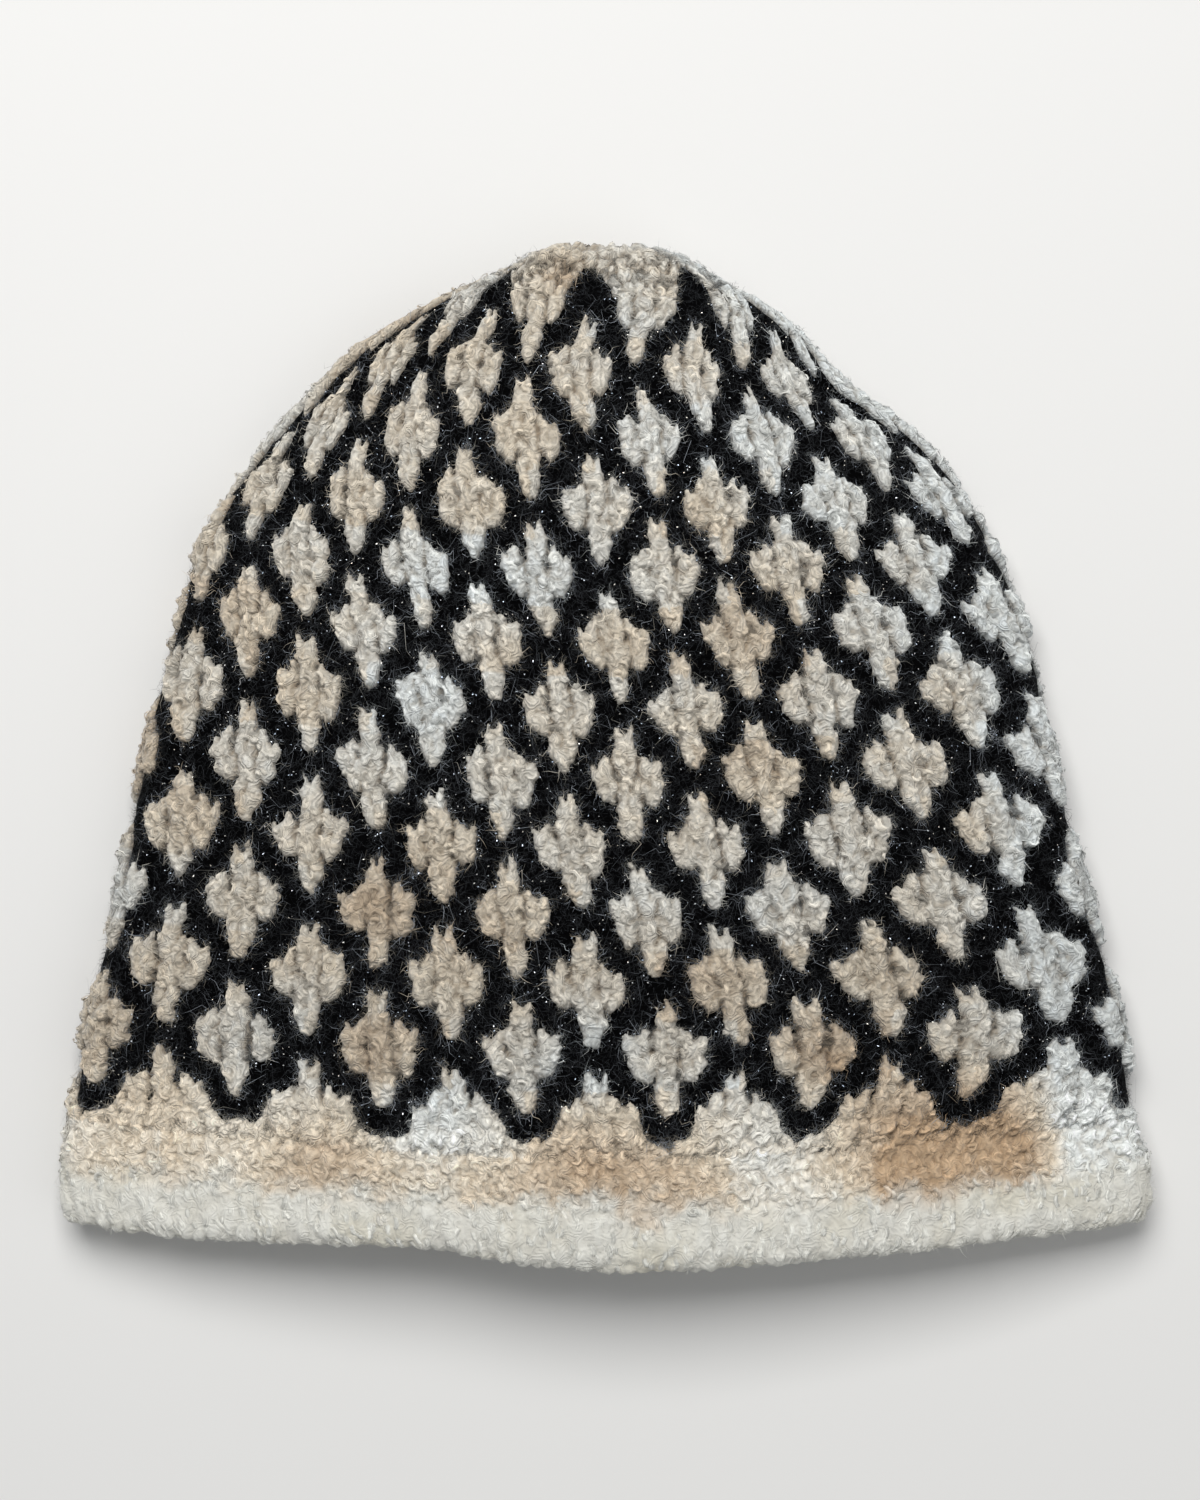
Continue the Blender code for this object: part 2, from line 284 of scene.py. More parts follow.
class Shell:
    """The flattened hat as a surface over courses and shares of the way round."""

    # The least radius of a side fold, and the least width of a stitch and height of a course
    MIN_FOLD = 0.0008
    MIN_STITCH = 0.0008
    MIN_COURSE = 0.0025

    # Half steps that directions and sizes are taken over, a share of the way round and a part of a course,
    # and the room that directions keep from the last course
    ROUND_STEP = 0.0012
    UP_STEP = 0.05
    LAST_ROOM = 0.06

    def __init__(self, sizes):
        self.sizes = sizes
        self.band_top = (sizes.hem_height + sizes.band_height) / sizes.height
        self.hem_top = sizes.hem_height / sizes.height
        self.body_top = 1 - sizes.cap_height / sizes.height
        self.course_share = COURSE_RATE * (self.body_top - self.band_top) / BODY_COURSES
        self.roll_course = self.course_of(ROLL_START * self.hem_top)
        self.hem_course = self.course_of(self.hem_top)
        self.last_course = self.course_of(LAST_HEIGHT)

    def height_of(self, course):
        return self.band_top + COURSES_RAISED + (course - FIRST_COURSE) * self.course_share

    def course_of(self, height):
        return FIRST_COURSE + (height - self.band_top - COURSES_RAISED) / self.course_share

    def share_of(self, stitch, course):
        """The share of the way round: the columns lean as they climb, up to the crown."""
        course = np.minimum(course, LEAN_TOP)
        lean = LEAN[0] + LEAN[1] * course + LEAN[2] * course**2
        return ((stitch + lean) / STITCHES_ROUND + 0.5) % 1.0 - 0.5

    def point(self, height, share, depth):
        """Points at shares of the height and of the way round, a depth below the outer face."""
        section = read_sections(height)
        half_width = (section.left + section.right) / 2 * self.sizes.width / 2
        middle = (section.right - section.left) / 2 * self.sizes.width / 2
        thickness = section.thickness * self.sizes.thickness
        fold = np.maximum(np.minimum(self.sizes.fold_radius, thickness / 2) - depth, self.MIN_FOLD)
        reach = half_width - depth
        low = np.maximum(section.lift, 0.0) * self.sizes.thickness + depth
        high = low + thickness - 2 * depth
        share = (share + 0.5) % 1.0 - 0.5
        on_left = share < 0
        way = np.abs(share) * 4
        to_fold = np.minimum(way, 2 - way)
        crowding = np.where(on_left, section.left_crowding, section.right_crowding)
        spread = crowding * to_fold / (1 + (crowding**BUNCH - 1) * to_fold**BUNCH) ** (1 / BUNCH)
        spread = np.where(way <= 1, spread, 2 - spread)
        spread = spread + np.where(on_left, 0.0, section.right_slack) * way**3 * (2 - way) ** 2
        on_front = spread <= 1
        spread = np.minimum(spread, 2 - spread)
        flat = reach - fold
        travelled = spread * (flat + fold * math.pi / 2)
        turn = np.maximum(travelled - flat, 0.0) / fold
        across = np.minimum(travelled, flat) + fold * np.sin(turn)
        dome = low + 2 * fold + (high - low - 2 * fold) * (1 - (np.minimum(travelled, flat) / flat) ** 2)
        round_fold = low + fold + fold * np.cos(turn) * np.where(on_front, 1.0, -1.0)
        up = np.where(travelled < flat, np.where(on_front, dome, low), round_fold)
        rise = np.where(on_left, section.left_rise, section.right_rise)
        along = (height - 0.5 + rise * (across / reach) ** RISE_POWER) * self.sizes.height
        beside = np.where(on_left, -across, across)
        climb = np.exp(-(((beside / reach - EDGE_CLIMB_AT) / EDGE_CLIMB_REACH) ** 2))
        along = along + EDGE_CLIMB * climb * (1 - smooth_step(0.0, EDGE_CLIMB_TOP, height))
        return np.stack([middle + beside, along, up], axis=-1)

    def skin(self, course, share):
        """Points of the yarns' face, which turns in round the hem below the band."""
        sunk = self.sizes.skin_depth
        height = self.height_of(course)
        rolled = self.roll_course - course
        turn = np.clip(rolled / ROLL_COURSES, 0.0, 1.0) * math.pi
        climbed = np.clip((rolled - ROLL_COURSES) / INNER_COURSES, 0.0, 1.0)
        start = ROLL_START * self.hem_top
        drop = start - (sunk + HEM_FLEECE) / self.sizes.height
        roll_height = start - drop * np.sin(turn) + (INNER_TOP * self.hem_top - start) * climbed
        depth = (self.sizes.hem_wall / 2 - sunk) * (1 - np.cos(turn))
        depth = depth * (1 - INNER_LEAN * smooth_step(0.6, 1.0, climbed))
        height = np.where(rolled > 0, roll_height, height)
        return self.point(height, share, sunk + np.where(rolled > 0, depth, 0.0))

    def steps_at(self, course, share):
        """Short steps over the skin, round the hat and towards the crown."""
        round_step = self.skin(course, share + self.ROUND_STEP) - self.skin(course, share - self.ROUND_STEP)
        up_step = self.skin(course + self.UP_STEP, share) - self.skin(course - self.UP_STEP, share)
        return round_step, up_step

    def frame_at(self, course, share):
        """The skin's outward normals and the unit directions round the hat and towards the crown."""
        course = np.minimum(np.asarray(course, float), self.last_course - self.LAST_ROOM)
        round_way, up_way = (unit(step) for step in self.steps_at(course, share))
        return unit(np.cross(round_way, up_way)), round_way, up_way

    def stitch_size(self, course, share):
        """The width of a stitch and the height of a course there, in metres."""
        width, height = (np.linalg.norm(step, axis=-1) for step in self.steps_at(course, share))
        width = width / (2 * self.ROUND_STEP * STITCHES_ROUND)
        height = height / (2 * self.UP_STEP)
        return np.maximum(width, self.MIN_STITCH), np.maximum(height, self.MIN_COURSE)

    def lifted(self, course, share, lift):
        """Skin points moved outwards by a lift, laid flat where the hat rests on the floor."""
        normal, _, _ = self.frame_at(course, share)
        return rest_on_floor(self.skin(course, share) + normal * np.asarray(lift)[..., None])


def unit(vectors):
    norm = np.linalg.norm(vectors, axis=-1, keepdims=True)
    return vectors / np.maximum(norm, 1e-12)


# The layer that yarn is pressed into where the hat rests on the floor, and the gap left under it
PRESSED_LAYER = 0.0012
FLOOR_GAP = 0.00005


def rest_on_floor(points):
    """Presses what would sink into the floor into a thin layer on it, keeping its order."""
    z = points[..., 2]
    sunk = np.minimum(z - PRESSED_LAYER, 0.0)
    pressed = np.where(z < PRESSED_LAYER, PRESSED_LAYER * np.exp(sunk / PRESSED_LAYER), z)
    points = points.copy()
    points[..., 2] = np.maximum(pressed, FLOOR_GAP)
    return points


def smooth_step(low, high, value):
    t = np.clip((value - low) / (high - low), 0.0, 1.0)
    return t * t * (3 - 2 * t)


# How far apart the patterns of two seeds lie, and how sharply the creases between tufts are cut
NOISE_SHIFT = 17.31
TUFT_SHIFT = 23.17
TUFT_CUT = 2.2


def noise_at(points, size, seed):
    """Smooth noise from -1 to 1 with bumps of about a size."""
    scaled = np.asarray(points) / size + seed * NOISE_SHIFT
    flat = scaled.reshape(-1, 3).tolist()
    return np.array([noise.noise(place) for place in flat]).reshape(scaled.shape[:-1])


def smoothed(grid, across, up):
    """A grid's means over windows a few points wide and high."""
    for axis, reach in ((1, across), (0, up)):
        shifts = [np.roll(grid, step, axis) for step in range(-reach, reach + 1)]
        grid = np.mean(shifts, axis=0)
    return grid


def clumps_at(points, size, seed):
    """Rounded tufts of about a size: 1 in their middles, 0 in the creases between them."""
    scaled = np.asarray(points) / size + seed * TUFT_SHIFT
    flat = scaled.reshape(-1, 3).tolist()
    near = np.array([noise.voronoi(place)[0][:2] for place in flat])
    return np.clip((near[:, 1] - near[:, 0]) * TUFT_CUT, 0.0, 1.0).reshape(scaled.shape[:-1])


def pixel_of(points):
    """The photograph's pixel under points of the hat's front."""
    return HAT_MIDDLE_X_PX + points[..., 0] / METRES_PER_PX, HAT_MIDDLE_Y_PX - points[..., 1] / METRES_PER_PX


# The knitting


def is_cream(stitch, row):
    """What is knitted at a stitch; the band below the diamonds and the crown above them are all cream."""
    if row < FIRST_COURSE or row >= CAP_COURSE:
        return True
    return CHART[row % REPEAT_COURSES][stitch % REPEAT_STITCHES] == "o"


def column_side(stitch, row):
    """-1 or 1 for a cream stitch left or right of its diamond's middle column, 0 in the column."""
    half = REPEAT_STITCHES // 2
    middle = half if CHART[row % REPEAT_COURSES][half - 1] == "o" else 0
    offset = (stitch - middle + half) % REPEAT_STITCHES - half
    return offset if abs(offset) == 1 else 0


class YarnRelief:
    """Lift of the cream yarn over the yarns' face, on a grid of stitches and courses round the whole hat."""

    # A stitch's two legs, from one foot up to their spread heads, and how far a stitch reaches, in stitches
    # and courses
    LEG_LOW = -0.74
    LEG_HIGH = 0.60
    LEG_SPREAD = 0.40
    LEG_RADIUS = 0.375
    FOOT_APART = 0.05
    REACH_ROUND = 1.5
    REACH_DOWN = 1.3
    REACH_UP = 2.3

    # A leg is thinner at its ends, tapers to its head, more where it ends in an ear, and has a skirt round
    # it that falls to the net
    LEG_END = 0.60
    LEG_SWELL = 0.7
    LEG_TAPER = 0.16
    TAPER_FROM = 0.80
    EAR_TAPER = 0.34
    EAR_FROM = 0.58
    SKIRT_SLOPE = 0.012

    # The stitches left and right of a diamond's middle column stand out as wings; the lowest ones less
    WING_OUT = 0.14
    LOW_WING_OUT = 0.55
    WING_SPREAD = 0.33
    WING_SQUASH = 0.76
    WING_PULL = 0.17
    UPPER_WING_PULL = -0.7
    WING_FOOT_IN = 0.14
    WING_INNER_RISE = 0.16
    SHOULDER = 0.22

    # The wings under the plain crown are cut short
    CROWN_WING_SIZE = 0.75
    CROWN_WING_RISE = 0.2

    # A diamond's foot ends in a point and its top in two ears
    TIP_DROP = 0.16
    TOP_SPREAD = 0.27
    EAR_RISE = 0.13

    # How far chance moves a stitch and changes its size, and how far it changes its legs' spread, rise,
    # ears, shoulders and size
    CHANCE_ROUND = 0.10
    CHANCE_UP = 0.12
    CHANCE_SIZE = 0.10
    CHANCE_SPREAD = 0.25
    CHANCE_TOP_SPREAD = 0.4
    CHANCE_RISE = 0.15
    CHANCE_EAR = 1.2
    CHANCE_SHOULDER = 0.5
    CHANCE_LEG = 0.10
    CHANCES_EACH = 12

    # Lift where there is no cream yarn, and the lift over which yarn counts as cream
    BARE = -0.0045
    COVERED = -0.0010

    # Where cream covers most of its surroundings, the gaps between its stitches close up
    CLOSES_FROM = 0.62
    CLOSES_BY = 0.80
    CLOSED_LOW = -0.0013
    CLOSED_RISE = 0.0009

    # Where the stitches bunch into narrow ones, the relief is flatter
    NARROW = 0.0008
    WIDE = 0.0016
    NARROW_FLATTENS = 0.6

    # The bays and peaks of the fleece's border, in courses over the first one and the crown's: how high they
    # begin, how steeply they turn and where they stop
    BAY_FOOT = 0.30
    BAY_RISE = 0.56
    BAY_TOP = 1.35
    PEAK_FOOT = 0.65
    PEAK_TOP = 1.05
    PEAK_FALL = 1.4
    PEAK_HALF = 1.7

    # Light is lost at the diamonds' edges, in hollows and in creases, and less of it in the plain band
    EDGE_HIGH = 0.0004
    EDGE_LOW = -0.0016
    EDGE_LOSS = 0.70
    BAND_EDGE_GAIN = 0.42
    HOLLOW_FLOOR = -0.0014
    HOLLOW_DEPTH = 0.0007
    HOLLOW_LOSS = 0.46
    BAND_HOLLOW_GAIN = 0.30

    # The light kept in a crease, and how much more on a tuft: on the stitches, on the band and on the hem
    CREASE_LIGHT = 0.80
    TUFT_LIGHT = 0.24
    BAND_CREASE_LIGHT = 0.09
    BAND_TUFT_LIGHT = -0.13
    HEM_CREASE_LIGHT = 0.86
    HEM_TUFT_LIGHT = 0.14

    # How long the waves are that the stitches bend by, and how far each bends them round and up
    BENDS = (0.0085, 0.0028, 0.0014)
    BENDS_ROUND = (0.14, 0.15, 0.10)
    BENDS_UP = (0.15, 0.14, 0.09)

    # How much finer the tufts lie in x, y and z: on the band and the stitches, and upright on the hem
    TUFTS_DRAWN = np.array([1.0, 0.75, 1.0])
    HEM_TUFTS_DRAWN = np.array([0.80, 0.30, 0.6])

    # The tufts' sizes, and how far they swell: in the plain fleece, and less on the stitches
    TUFT_SIZE = 0.0031
    SMALL_TUFT_SIZE = 0.0016
    GRAIN_SIZE = 0.0011
    TUFT_SWELL = 0.0011
    TUFT_SWELL_LESS = 0.0004
    SMALL_SWELL = 0.0005
    SMALL_SWELL_LESS = 0.0001
    GRAIN_SWELL = 0.0002
    TUFT_MIDDLE = 0.6

    def __init__(self, shell, stitches, courses, seed):
        self.shell = shell
        self.stitches = stitches
        self.courses = courses
        self.stitch_grid, self.course_grid = np.meshgrid(stitches, courses)
        self.share = shell.share_of(self.stitch_grid, self.course_grid)
        self.flat = shell.skin(self.course_grid, self.share)
        self.lift = np.full(self.stitch_grid.shape, self.BARE)
        random = np.random.default_rng(seed)
        rows = CAP_COURSE - FIRST_COURSE
        self.chances = random.uniform(-1, 1, (rows, STITCHES_ROUND, self.CHANCES_EACH))
        self.stamp_stitches()
        self.close_gaps()
        self.add_plain_fleece()
        self.add_tufts()
        width, _ = shell.stitch_size(self.course_grid, self.share)
        self.lift = self.lift * (1 - self.NARROW_FLATTENS * smooth_step(self.WIDE, self.NARROW, width))
        self.shade_hollows()

    def close_gaps(self):
        """Lifts the bare gaps inside a diamond, so that the net shows only round it."""
        covered = smoothed(self.lift > self.COVERED, 4, 4)
        filled = self.CLOSED_LOW + self.CLOSED_RISE * smooth_step(self.CLOSES_FROM, self.CLOSES_BY, covered)
        self.lift = np.maximum(self.lift, np.where(covered > self.CLOSES_FROM, filled, self.BARE))

    def shade_hollows(self):
        """The share of light that the yarn keeps: less at the diamonds' edges, in hollows and in creases."""
        above = np.maximum(self.lift, self.HOLLOW_FLOOR)
        hollow = np.clip((smoothed(above, 4, 3) - above) / self.HOLLOW_DEPTH, -0.5, 1.0)
        band = self.plain * (self.course_grid < FIRST_COURSE + 2)
        edge_loss = self.EDGE_LOSS - self.BAND_EDGE_GAIN * band
        hollow_loss = self.HOLLOW_LOSS - self.BAND_HOLLOW_GAIN * band
        edge = 1 - edge_loss * smooth_step(self.EDGE_HIGH, self.EDGE_LOW, self.lift)
        self.shade = edge * (1 - hollow_loss * hollow)
        band_light = band * (self.BAND_CREASE_LIGHT + self.BAND_TUFT_LIGHT * self.crease)
        self.shade = self.shade * (self.CREASE_LIGHT + self.TUFT_LIGHT * self.crease + band_light)
        hem_light = self.HEM_CREASE_LIGHT + self.HEM_TUFT_LIGHT * self.crease
        self.shade = self.shade + (hem_light - self.shade) * self.hem

    def stamp_stitches(self):
        """Stamps the chart's cream stitches on the grid, along courses and columns that wander a little."""
        broad = noise_at(self.flat, self.BENDS[0], 1.0)
        broad_up = noise_at(self.flat, self.BENDS[0], 2.0)
        fine = noise_at(self.flat, self.BENDS[1], 3.0)
        finest = noise_at(self.flat, self.BENDS[2], 3.5)
        bent_stitch = self.stitch_grid
        for bend, wave in zip(self.BENDS_ROUND, (broad, fine, finest)):
            bent_stitch = bent_stitch + bend * wave
        bent_course = self.course_grid
        for bend, wave in zip(self.BENDS_UP, (broad_up, np.roll(fine, 7, 1), np.roll(finest, 5, 1))):
            bent_course = bent_course + bend * wave
        for row in range(FIRST_COURSE, CAP_COURSE):
            for stitch in range(int(self.stitches[0]) - 1, int(self.stitches[-1]) + 2):
                if is_cream(stitch, row):
                    self.stamp_stitch(stitch, row, bent_stitch, bent_course)

    def stamp_stitch(self, stitch, row, bent_stitch, bent_course):
        """Adds one stitch: two plump legs that part upwards from one point."""
        columns = np.searchsorted(self.stitches, [stitch - self.REACH_ROUND, stitch + self.REACH_ROUND])
        courses = np.searchsorted(self.courses, [row - self.REACH_DOWN, row + self.REACH_UP])
        if columns[0] == columns[1] or courses[0] == courses[1]:
            return
        window = (slice(*courses), slice(*columns))
        chance = self.chances[row - FIRST_COURSE, stitch % STITCHES_ROUND]
        wing = column_side(stitch, row)
        top = not wing and not is_cream(stitch, row + 1)
        foot_end = not wing and not is_cream(stitch, row - 1)
        wing_top = wing and not is_cream(stitch, row + 1)
        low_wing = wing and not is_cream(stitch, row - 1)
        out = wing * self.WING_OUT * (self.LOW_WING_OUT if low_wing else 1)
        x = bent_stitch[window] - stitch - self.CHANCE_ROUND * chance[0] - out
        y = bent_course[window] - row - 0.5 - self.CHANCE_UP * chance[1]
        if wing:
            y = y - self.WING_PULL * (1 if low_wing else self.UPPER_WING_PULL)
        size = 1 + self.CHANCE_SIZE * chance[2]
        if low_wing and row == CAP_COURSE - 2:
            size *= self.CROWN_WING_SIZE
            y = y - self.CROWN_WING_RISE
        squash = self.WING_SQUASH if wing else 1.0
        for side in (-1, 1):
            luck = chance[3:7] if side < 0 else chance[7:11]
            spread = (self.WING_SPREAD if wing else self.LEG_SPREAD) * (1 + self.CHANCE_SPREAD * luck[0])
            rise = self.LEG_HIGH * squash * (1 + self.CHANCE_RISE * luck[1])
            drop = self.LEG_LOW * squash
            if top:
                rise += self.EAR_RISE * (1 + self.CHANCE_EAR * luck[2])
                spread = self.TOP_SPREAD * (1 + self.CHANCE_TOP_SPREAD * luck[0])
            if wing_top and side != wing:
                rise += self.WING_INNER_RISE
            elif wing_top:
                rise -= self.SHOULDER * (1 + self.CHANCE_SHOULDER * luck[2])
            if foot_end:
                drop -= self.TIP_DROP
            foot_in = self.WING_FOOT_IN * wing if low_wing else 0.0
            foot = np.array([self.FOOT_APART * side - foot_in, drop])
            head = np.array([side * spread, rise])
            self.raise_leg(window, x, y, foot, head, size * (1 + self.CHANCE_LEG * luck[3]), top)

    def raise_leg(self, window, x, y, foot, head, size, eared):
        """Raises a rounded leg from its foot to its head, over what is there already."""
        along = head - foot
        share = np.clip(((x - foot[0]) * along[0] + (y - foot[1]) * along[1]) / (along @ along), 0.0, 1.0)
        gap = np.hypot(x - foot[0] - share * along[0], y - foot[1] - share * along[1])
        swell = np.sin(math.pi * np.clip(share * 1.02 + 0.06, 0, 1)) ** self.LEG_SWELL
        plump = self.LEG_END + (1 - self.LEG_END) * swell
        starts, tapers = (self.EAR_FROM, self.EAR_TAPER) if eared else (self.TAPER_FROM, self.LEG_TAPER)
        radius = self.LEG_RADIUS * size * plump * (1 - tapers * smooth_step(starts, 1.0, share))
        dome = np.sqrt(np.clip(1 - (gap / radius) ** 2, 0.0, None))
        full = self.shell.sizes.leg_height * (0.45 + 0.55 * radius / self.LEG_RADIUS)
        base = -self.shell.sizes.leg_base
        skirt = np.maximum(base - (gap - radius) * self.SKIRT_SLOPE, self.BARE)
        lift = np.where(dome > 0, base + full * dome, skirt)
        self.lift[window] = np.maximum(self.lift[window], lift)

    def add_plain_fleece(self):
        """The fleece under and over the diamonds, which the net meets in rounded bays and narrow peaks."""
        bend = 0.5 * noise_at(self.flat, 0.0060, 4.0) + 0.25 * noise_at(self.flat, 0.0025, 4.5)
        half = REPEAT_STITCHES / 2
        from_middle = np.abs(self.stitch_grid % REPEAT_STITCHES - half)
        bay = FIRST_COURSE + self.BAY_FOOT + np.minimum(self.BAY_RISE * from_middle**4, self.BAY_TOP)
        fall = self.PEAK_FALL * np.minimum(from_middle, self.PEAK_HALF)
        peak = np.minimum(CAP_COURSE + self.PEAK_FOOT, CAP_COURSE + self.PEAK_TOP - fall)
        below = smooth_step(0.25, -0.45, self.course_grid + bend - bay)
        above = smooth_step(-0.25, 0.35, self.course_grid + bend - peak)
        self.plain = np.maximum(below, above)
        fleece = self.shell.sizes.plain_lift + 0.0005 * noise_at(self.flat, 0.0090, 5.0)
        self.lift = np.maximum(self.lift, self.BARE + (fleece - self.BARE) * self.plain)

    def add_tufts(self):
        """Curly tufts: rounded clumps of two sizes with creases between them, drawn long down the hem."""
        hem = smooth_step(self.shell.hem_course + 1.0, self.shell.hem_course - 0.6, self.course_grid)
        stretched = self.flat * self.TUFTS_DRAWN
        upright = self.flat * self.HEM_TUFTS_DRAWN
        place = stretched + (upright - stretched) * hem[..., None]
        tuft = clumps_at(place, self.TUFT_SIZE, 6.0)
        small = clumps_at(place, self.SMALL_TUFT_SIZE, 7.0)
        grain = noise_at(self.flat, self.GRAIN_SIZE, 8.0)
        rough = 1 - 0.25 * hem
        stitched = 1 - self.plain
        self.lift = self.lift + rough * (
            (self.TUFT_SWELL - self.TUFT_SWELL_LESS * stitched) * (tuft - self.TUFT_MIDDLE)
            + (self.SMALL_SWELL - self.SMALL_SWELL_LESS * stitched) * (small - self.TUFT_MIDDLE)
            + self.GRAIN_SWELL * grain
        )
        self.crease = 0.60 * tuft + 0.40 * small
        self.hem = hem

    def read(self, stitch, course, grid=None):
        """The lift, or another grid's value, at any stitches and courses between the grid's points."""
        column = np.interp(stitch, self.stitches, np.arange(len(self.stitches)))
        row = np.interp(course, self.courses, np.arange(len(self.courses)))
        c0 = np.clip(column.astype(int), 0, len(self.stitches) - 2)
        r0 = np.clip(row.astype(int), 0, len(self.courses) - 2)
        c = column - c0
        r = row - r0
        grid = self.lift if grid is None else grid
        lower = grid[r0, c0] * (1 - c) + grid[r0, c0 + 1] * c
        upper = grid[r0 + 1, c0] * (1 - c) + grid[r0 + 1, c0 + 1] * c
        return lower * (1 - r) + upper * r


# The cream yarn's middle warmth, and how far the broad turns, each diamond's own tone, the streaks along the
# yarn and a patch at full warmth move it
WARMTH = 0.42
BROAD_TURN = 0.42
DIAMOND_TURN = 0.34
STREAK_TURN = 0.10
PATCH_TURN = 0.75
BROAD_SIZE = 0.034
STREAK_SIZE = 0.006

# Painted light: the yarn is painted cooler and whiter near the right fold, for the cool light that falls on
# that side; how much, and between which shares of the way there
RIGHT_PAINTED_LIGHT = ((0.16, 0.50, 0.80), (0.50, 0.76, 0.93))

# Large numbers that scatter the diamonds' own tones
SCATTER_COLUMN = 12.9898
SCATTER_TIER = 78.233
SCATTER = 43758.5453


def yarn_turn(points, stitch, course):
    """How warm the cream yarn is, from 0 for white to 1 for tan, along the yarn and by diamond, with painted
    light whitening it near the right fold.
    """
    broad = 0.5 + 0.75 * noise_at(points, BROAD_SIZE, 11.0)
    streak = noise_at(points * np.array([0.45, 1.0, 1.0]), STREAK_SIZE, 12.0)
    tier = np.round(course / (REPEAT_COURSES / 2))
    offset = np.where(tier % 2 == 0, REPEAT_STITCHES / 2, 0.0)
    column = np.round((stitch - offset) / REPEAT_STITCHES)
    each = np.sin(column * SCATTER_COLUMN + tier * SCATTER_TIER) * SCATTER
    each = each - np.floor(each)
    warm = WARMTH + BROAD_TURN * (broad - 0.5) + DIAMOND_TURN * (each - 0.5) + STREAK_TURN * streak
    section = read_sections(np.clip(points[..., 1] / (CAD_HIGH[1] - CAD_LOW[1]) + 0.5, 0.0, 1.0))
    to_right = points[..., 0] / (section.right * CAD_HIGH[0])
    # Painted light: whiter towards the right fold, where the cool light falls
    for cooler, near, far in RIGHT_PAINTED_LIGHT:
        warm = warm - cooler * smooth_step(near, far, to_right)
    x_px, y_px = pixel_of(points)
    for patch in PATCHES:
        away = np.hypot(x_px - patch.x_px, y_px - patch.y_px) / patch.reach_px
        warm = warm + patch.warmth * PATCH_TURN * np.exp(-(away**2))
    return np.clip(warm, 0.0, 1.0)


def yarn_colour(colours, warm):
    """The cream yarn's colour from white through cream to tan."""
    warm = warm[..., None]
    white, cream, tan = (np.array(c[:]) for c in (colours.white, colours.cream, colours.tan))
    cool_half = white + (cream - white) * np.clip(warm * 2, 0, 1)
    return np.where(warm < 0.5, cool_half, cream + (tan - cream) * np.clip(warm * 2 - 1, 0, 1))


# Mesh making


def add_mesh(name, points, faces, colours=None):
    """A mesh object from points and arrays of faces, with the yarn's colour at each point as its tint."""
    points = np.ascontiguousarray(np.asarray(points).reshape(-1, 3), dtype=np.float32)
    faces = [np.asarray(group, dtype=np.int32) for group in faces if len(group)]
    totals = np.concatenate([np.full(len(group), group.shape[1]) for group in faces])
    corners = np.concatenate([group.ravel() for group in faces])
    mesh = bpy.data.meshes.new(name)
    mesh.vertices.add(len(points))
    mesh.vertices.foreach_set("co", points.ravel())
    mesh.loops.add(len(corners))
    mesh.loops.foreach_set("vertex_index", corners)
    mesh.polygons.add(len(totals))
    starts = np.concatenate([[0], np.cumsum(totals)[:-1]])
    mesh.polygons.foreach_set("loop_start", starts.astype(np.int32))
    mesh.update(calc_edges=True)
    mesh.validate()
    mesh.shade_smooth()
    if colours is not None:
        tint = mesh.color_attributes.new("tint", "FLOAT_COLOR", "POINT")
        rgba = np.ones((len(points), 4), dtype=np.float32)
        rgba[:, :3] = np.asarray(colours).reshape(-1, 3)
        tint.data.foreach_set("color", rgba.ravel())
    piece = bpy.data.objects.new(name, mesh)
    bpy.context.scene.collection.objects.link(piece)
    return piece


def ring_faces(rows, columns, closed_up=False):
    """Faces of a grid of points whose rows are rings; closed up, the last row joins the first."""
    index = np.arange(rows * columns).reshape(rows, columns)
    index = np.concatenate([index, index[:, :1]], axis=1)
    if closed_up:
        index = np.concatenate([index, index[:1]], axis=0)
    corners = [index[:-1, :-1], index[:-1, 1:], index[1:, 1:], index[1:, :-1]]
    return np.stack(corners, axis=-1).reshape(-1, 4)


def kept_points(points, colours, faces):
    """Only the points that faces use, with the faces renumbered."""
    used, corners = np.unique(faces, return_inverse=True)
    return points.reshape(-1, 3)[used], colours.reshape(-1, 3)[used], corners.reshape(faces.shape)


def strand_mesh(paths, radii, facing, pointed_start=True):
    """Flat fibres along paths, across the way they face: points, faces and how many points each has."""
    count = len(paths)
    first = 1 if pointed_start else 0
    tangent = unit(np.gradient(paths, axis=1))[:, first:-1]
    side = unit(np.cross(tangent, facing[:, None, :])) * radii[:, first:-1, None]
    middle = paths[:, first:-1]
    pairs = np.stack([middle - side, middle + side], axis=2)
    ends = paths[:, [-1, 0]] if pointed_start else paths[:, -1:]
    points = np.concatenate([pairs.reshape(count, -1, 3), ends], axis=1)
    each = points.shape[1]
    start = np.arange(count)[:, None] * each
    low = start + np.arange(0, 2 * (middle.shape[1] - 1), 2)
    strips = np.stack([low, low + 1, low + 3, low + 2], axis=-1).reshape(-1, 4)
    last = start[:, 0] + 2 * middle.shape[1]
    tips = [np.stack([last - 2, last - 1, last], axis=-1)]
    if pointed_start:
        tips.append(np.stack([start[:, 0] + 1, start[:, 0], last + 1], axis=-1))
    return points.reshape(-1, 3), [strips, np.concatenate(tips)], each


# Materials


# The yarn's fibres as striations: rings round the bumps of a coarse noise, over the clumps of a finer one
SWIRL_SCALE = 330.0
SWIRL_RINGS = 34.0
SWIRL_SHARE = 0.20
CLUMP_SCALE = 900.0
STREAKS_FROM = 0.22
STREAKS_TO = 0.78
SHEEN_ROUGHNESS = 0.55

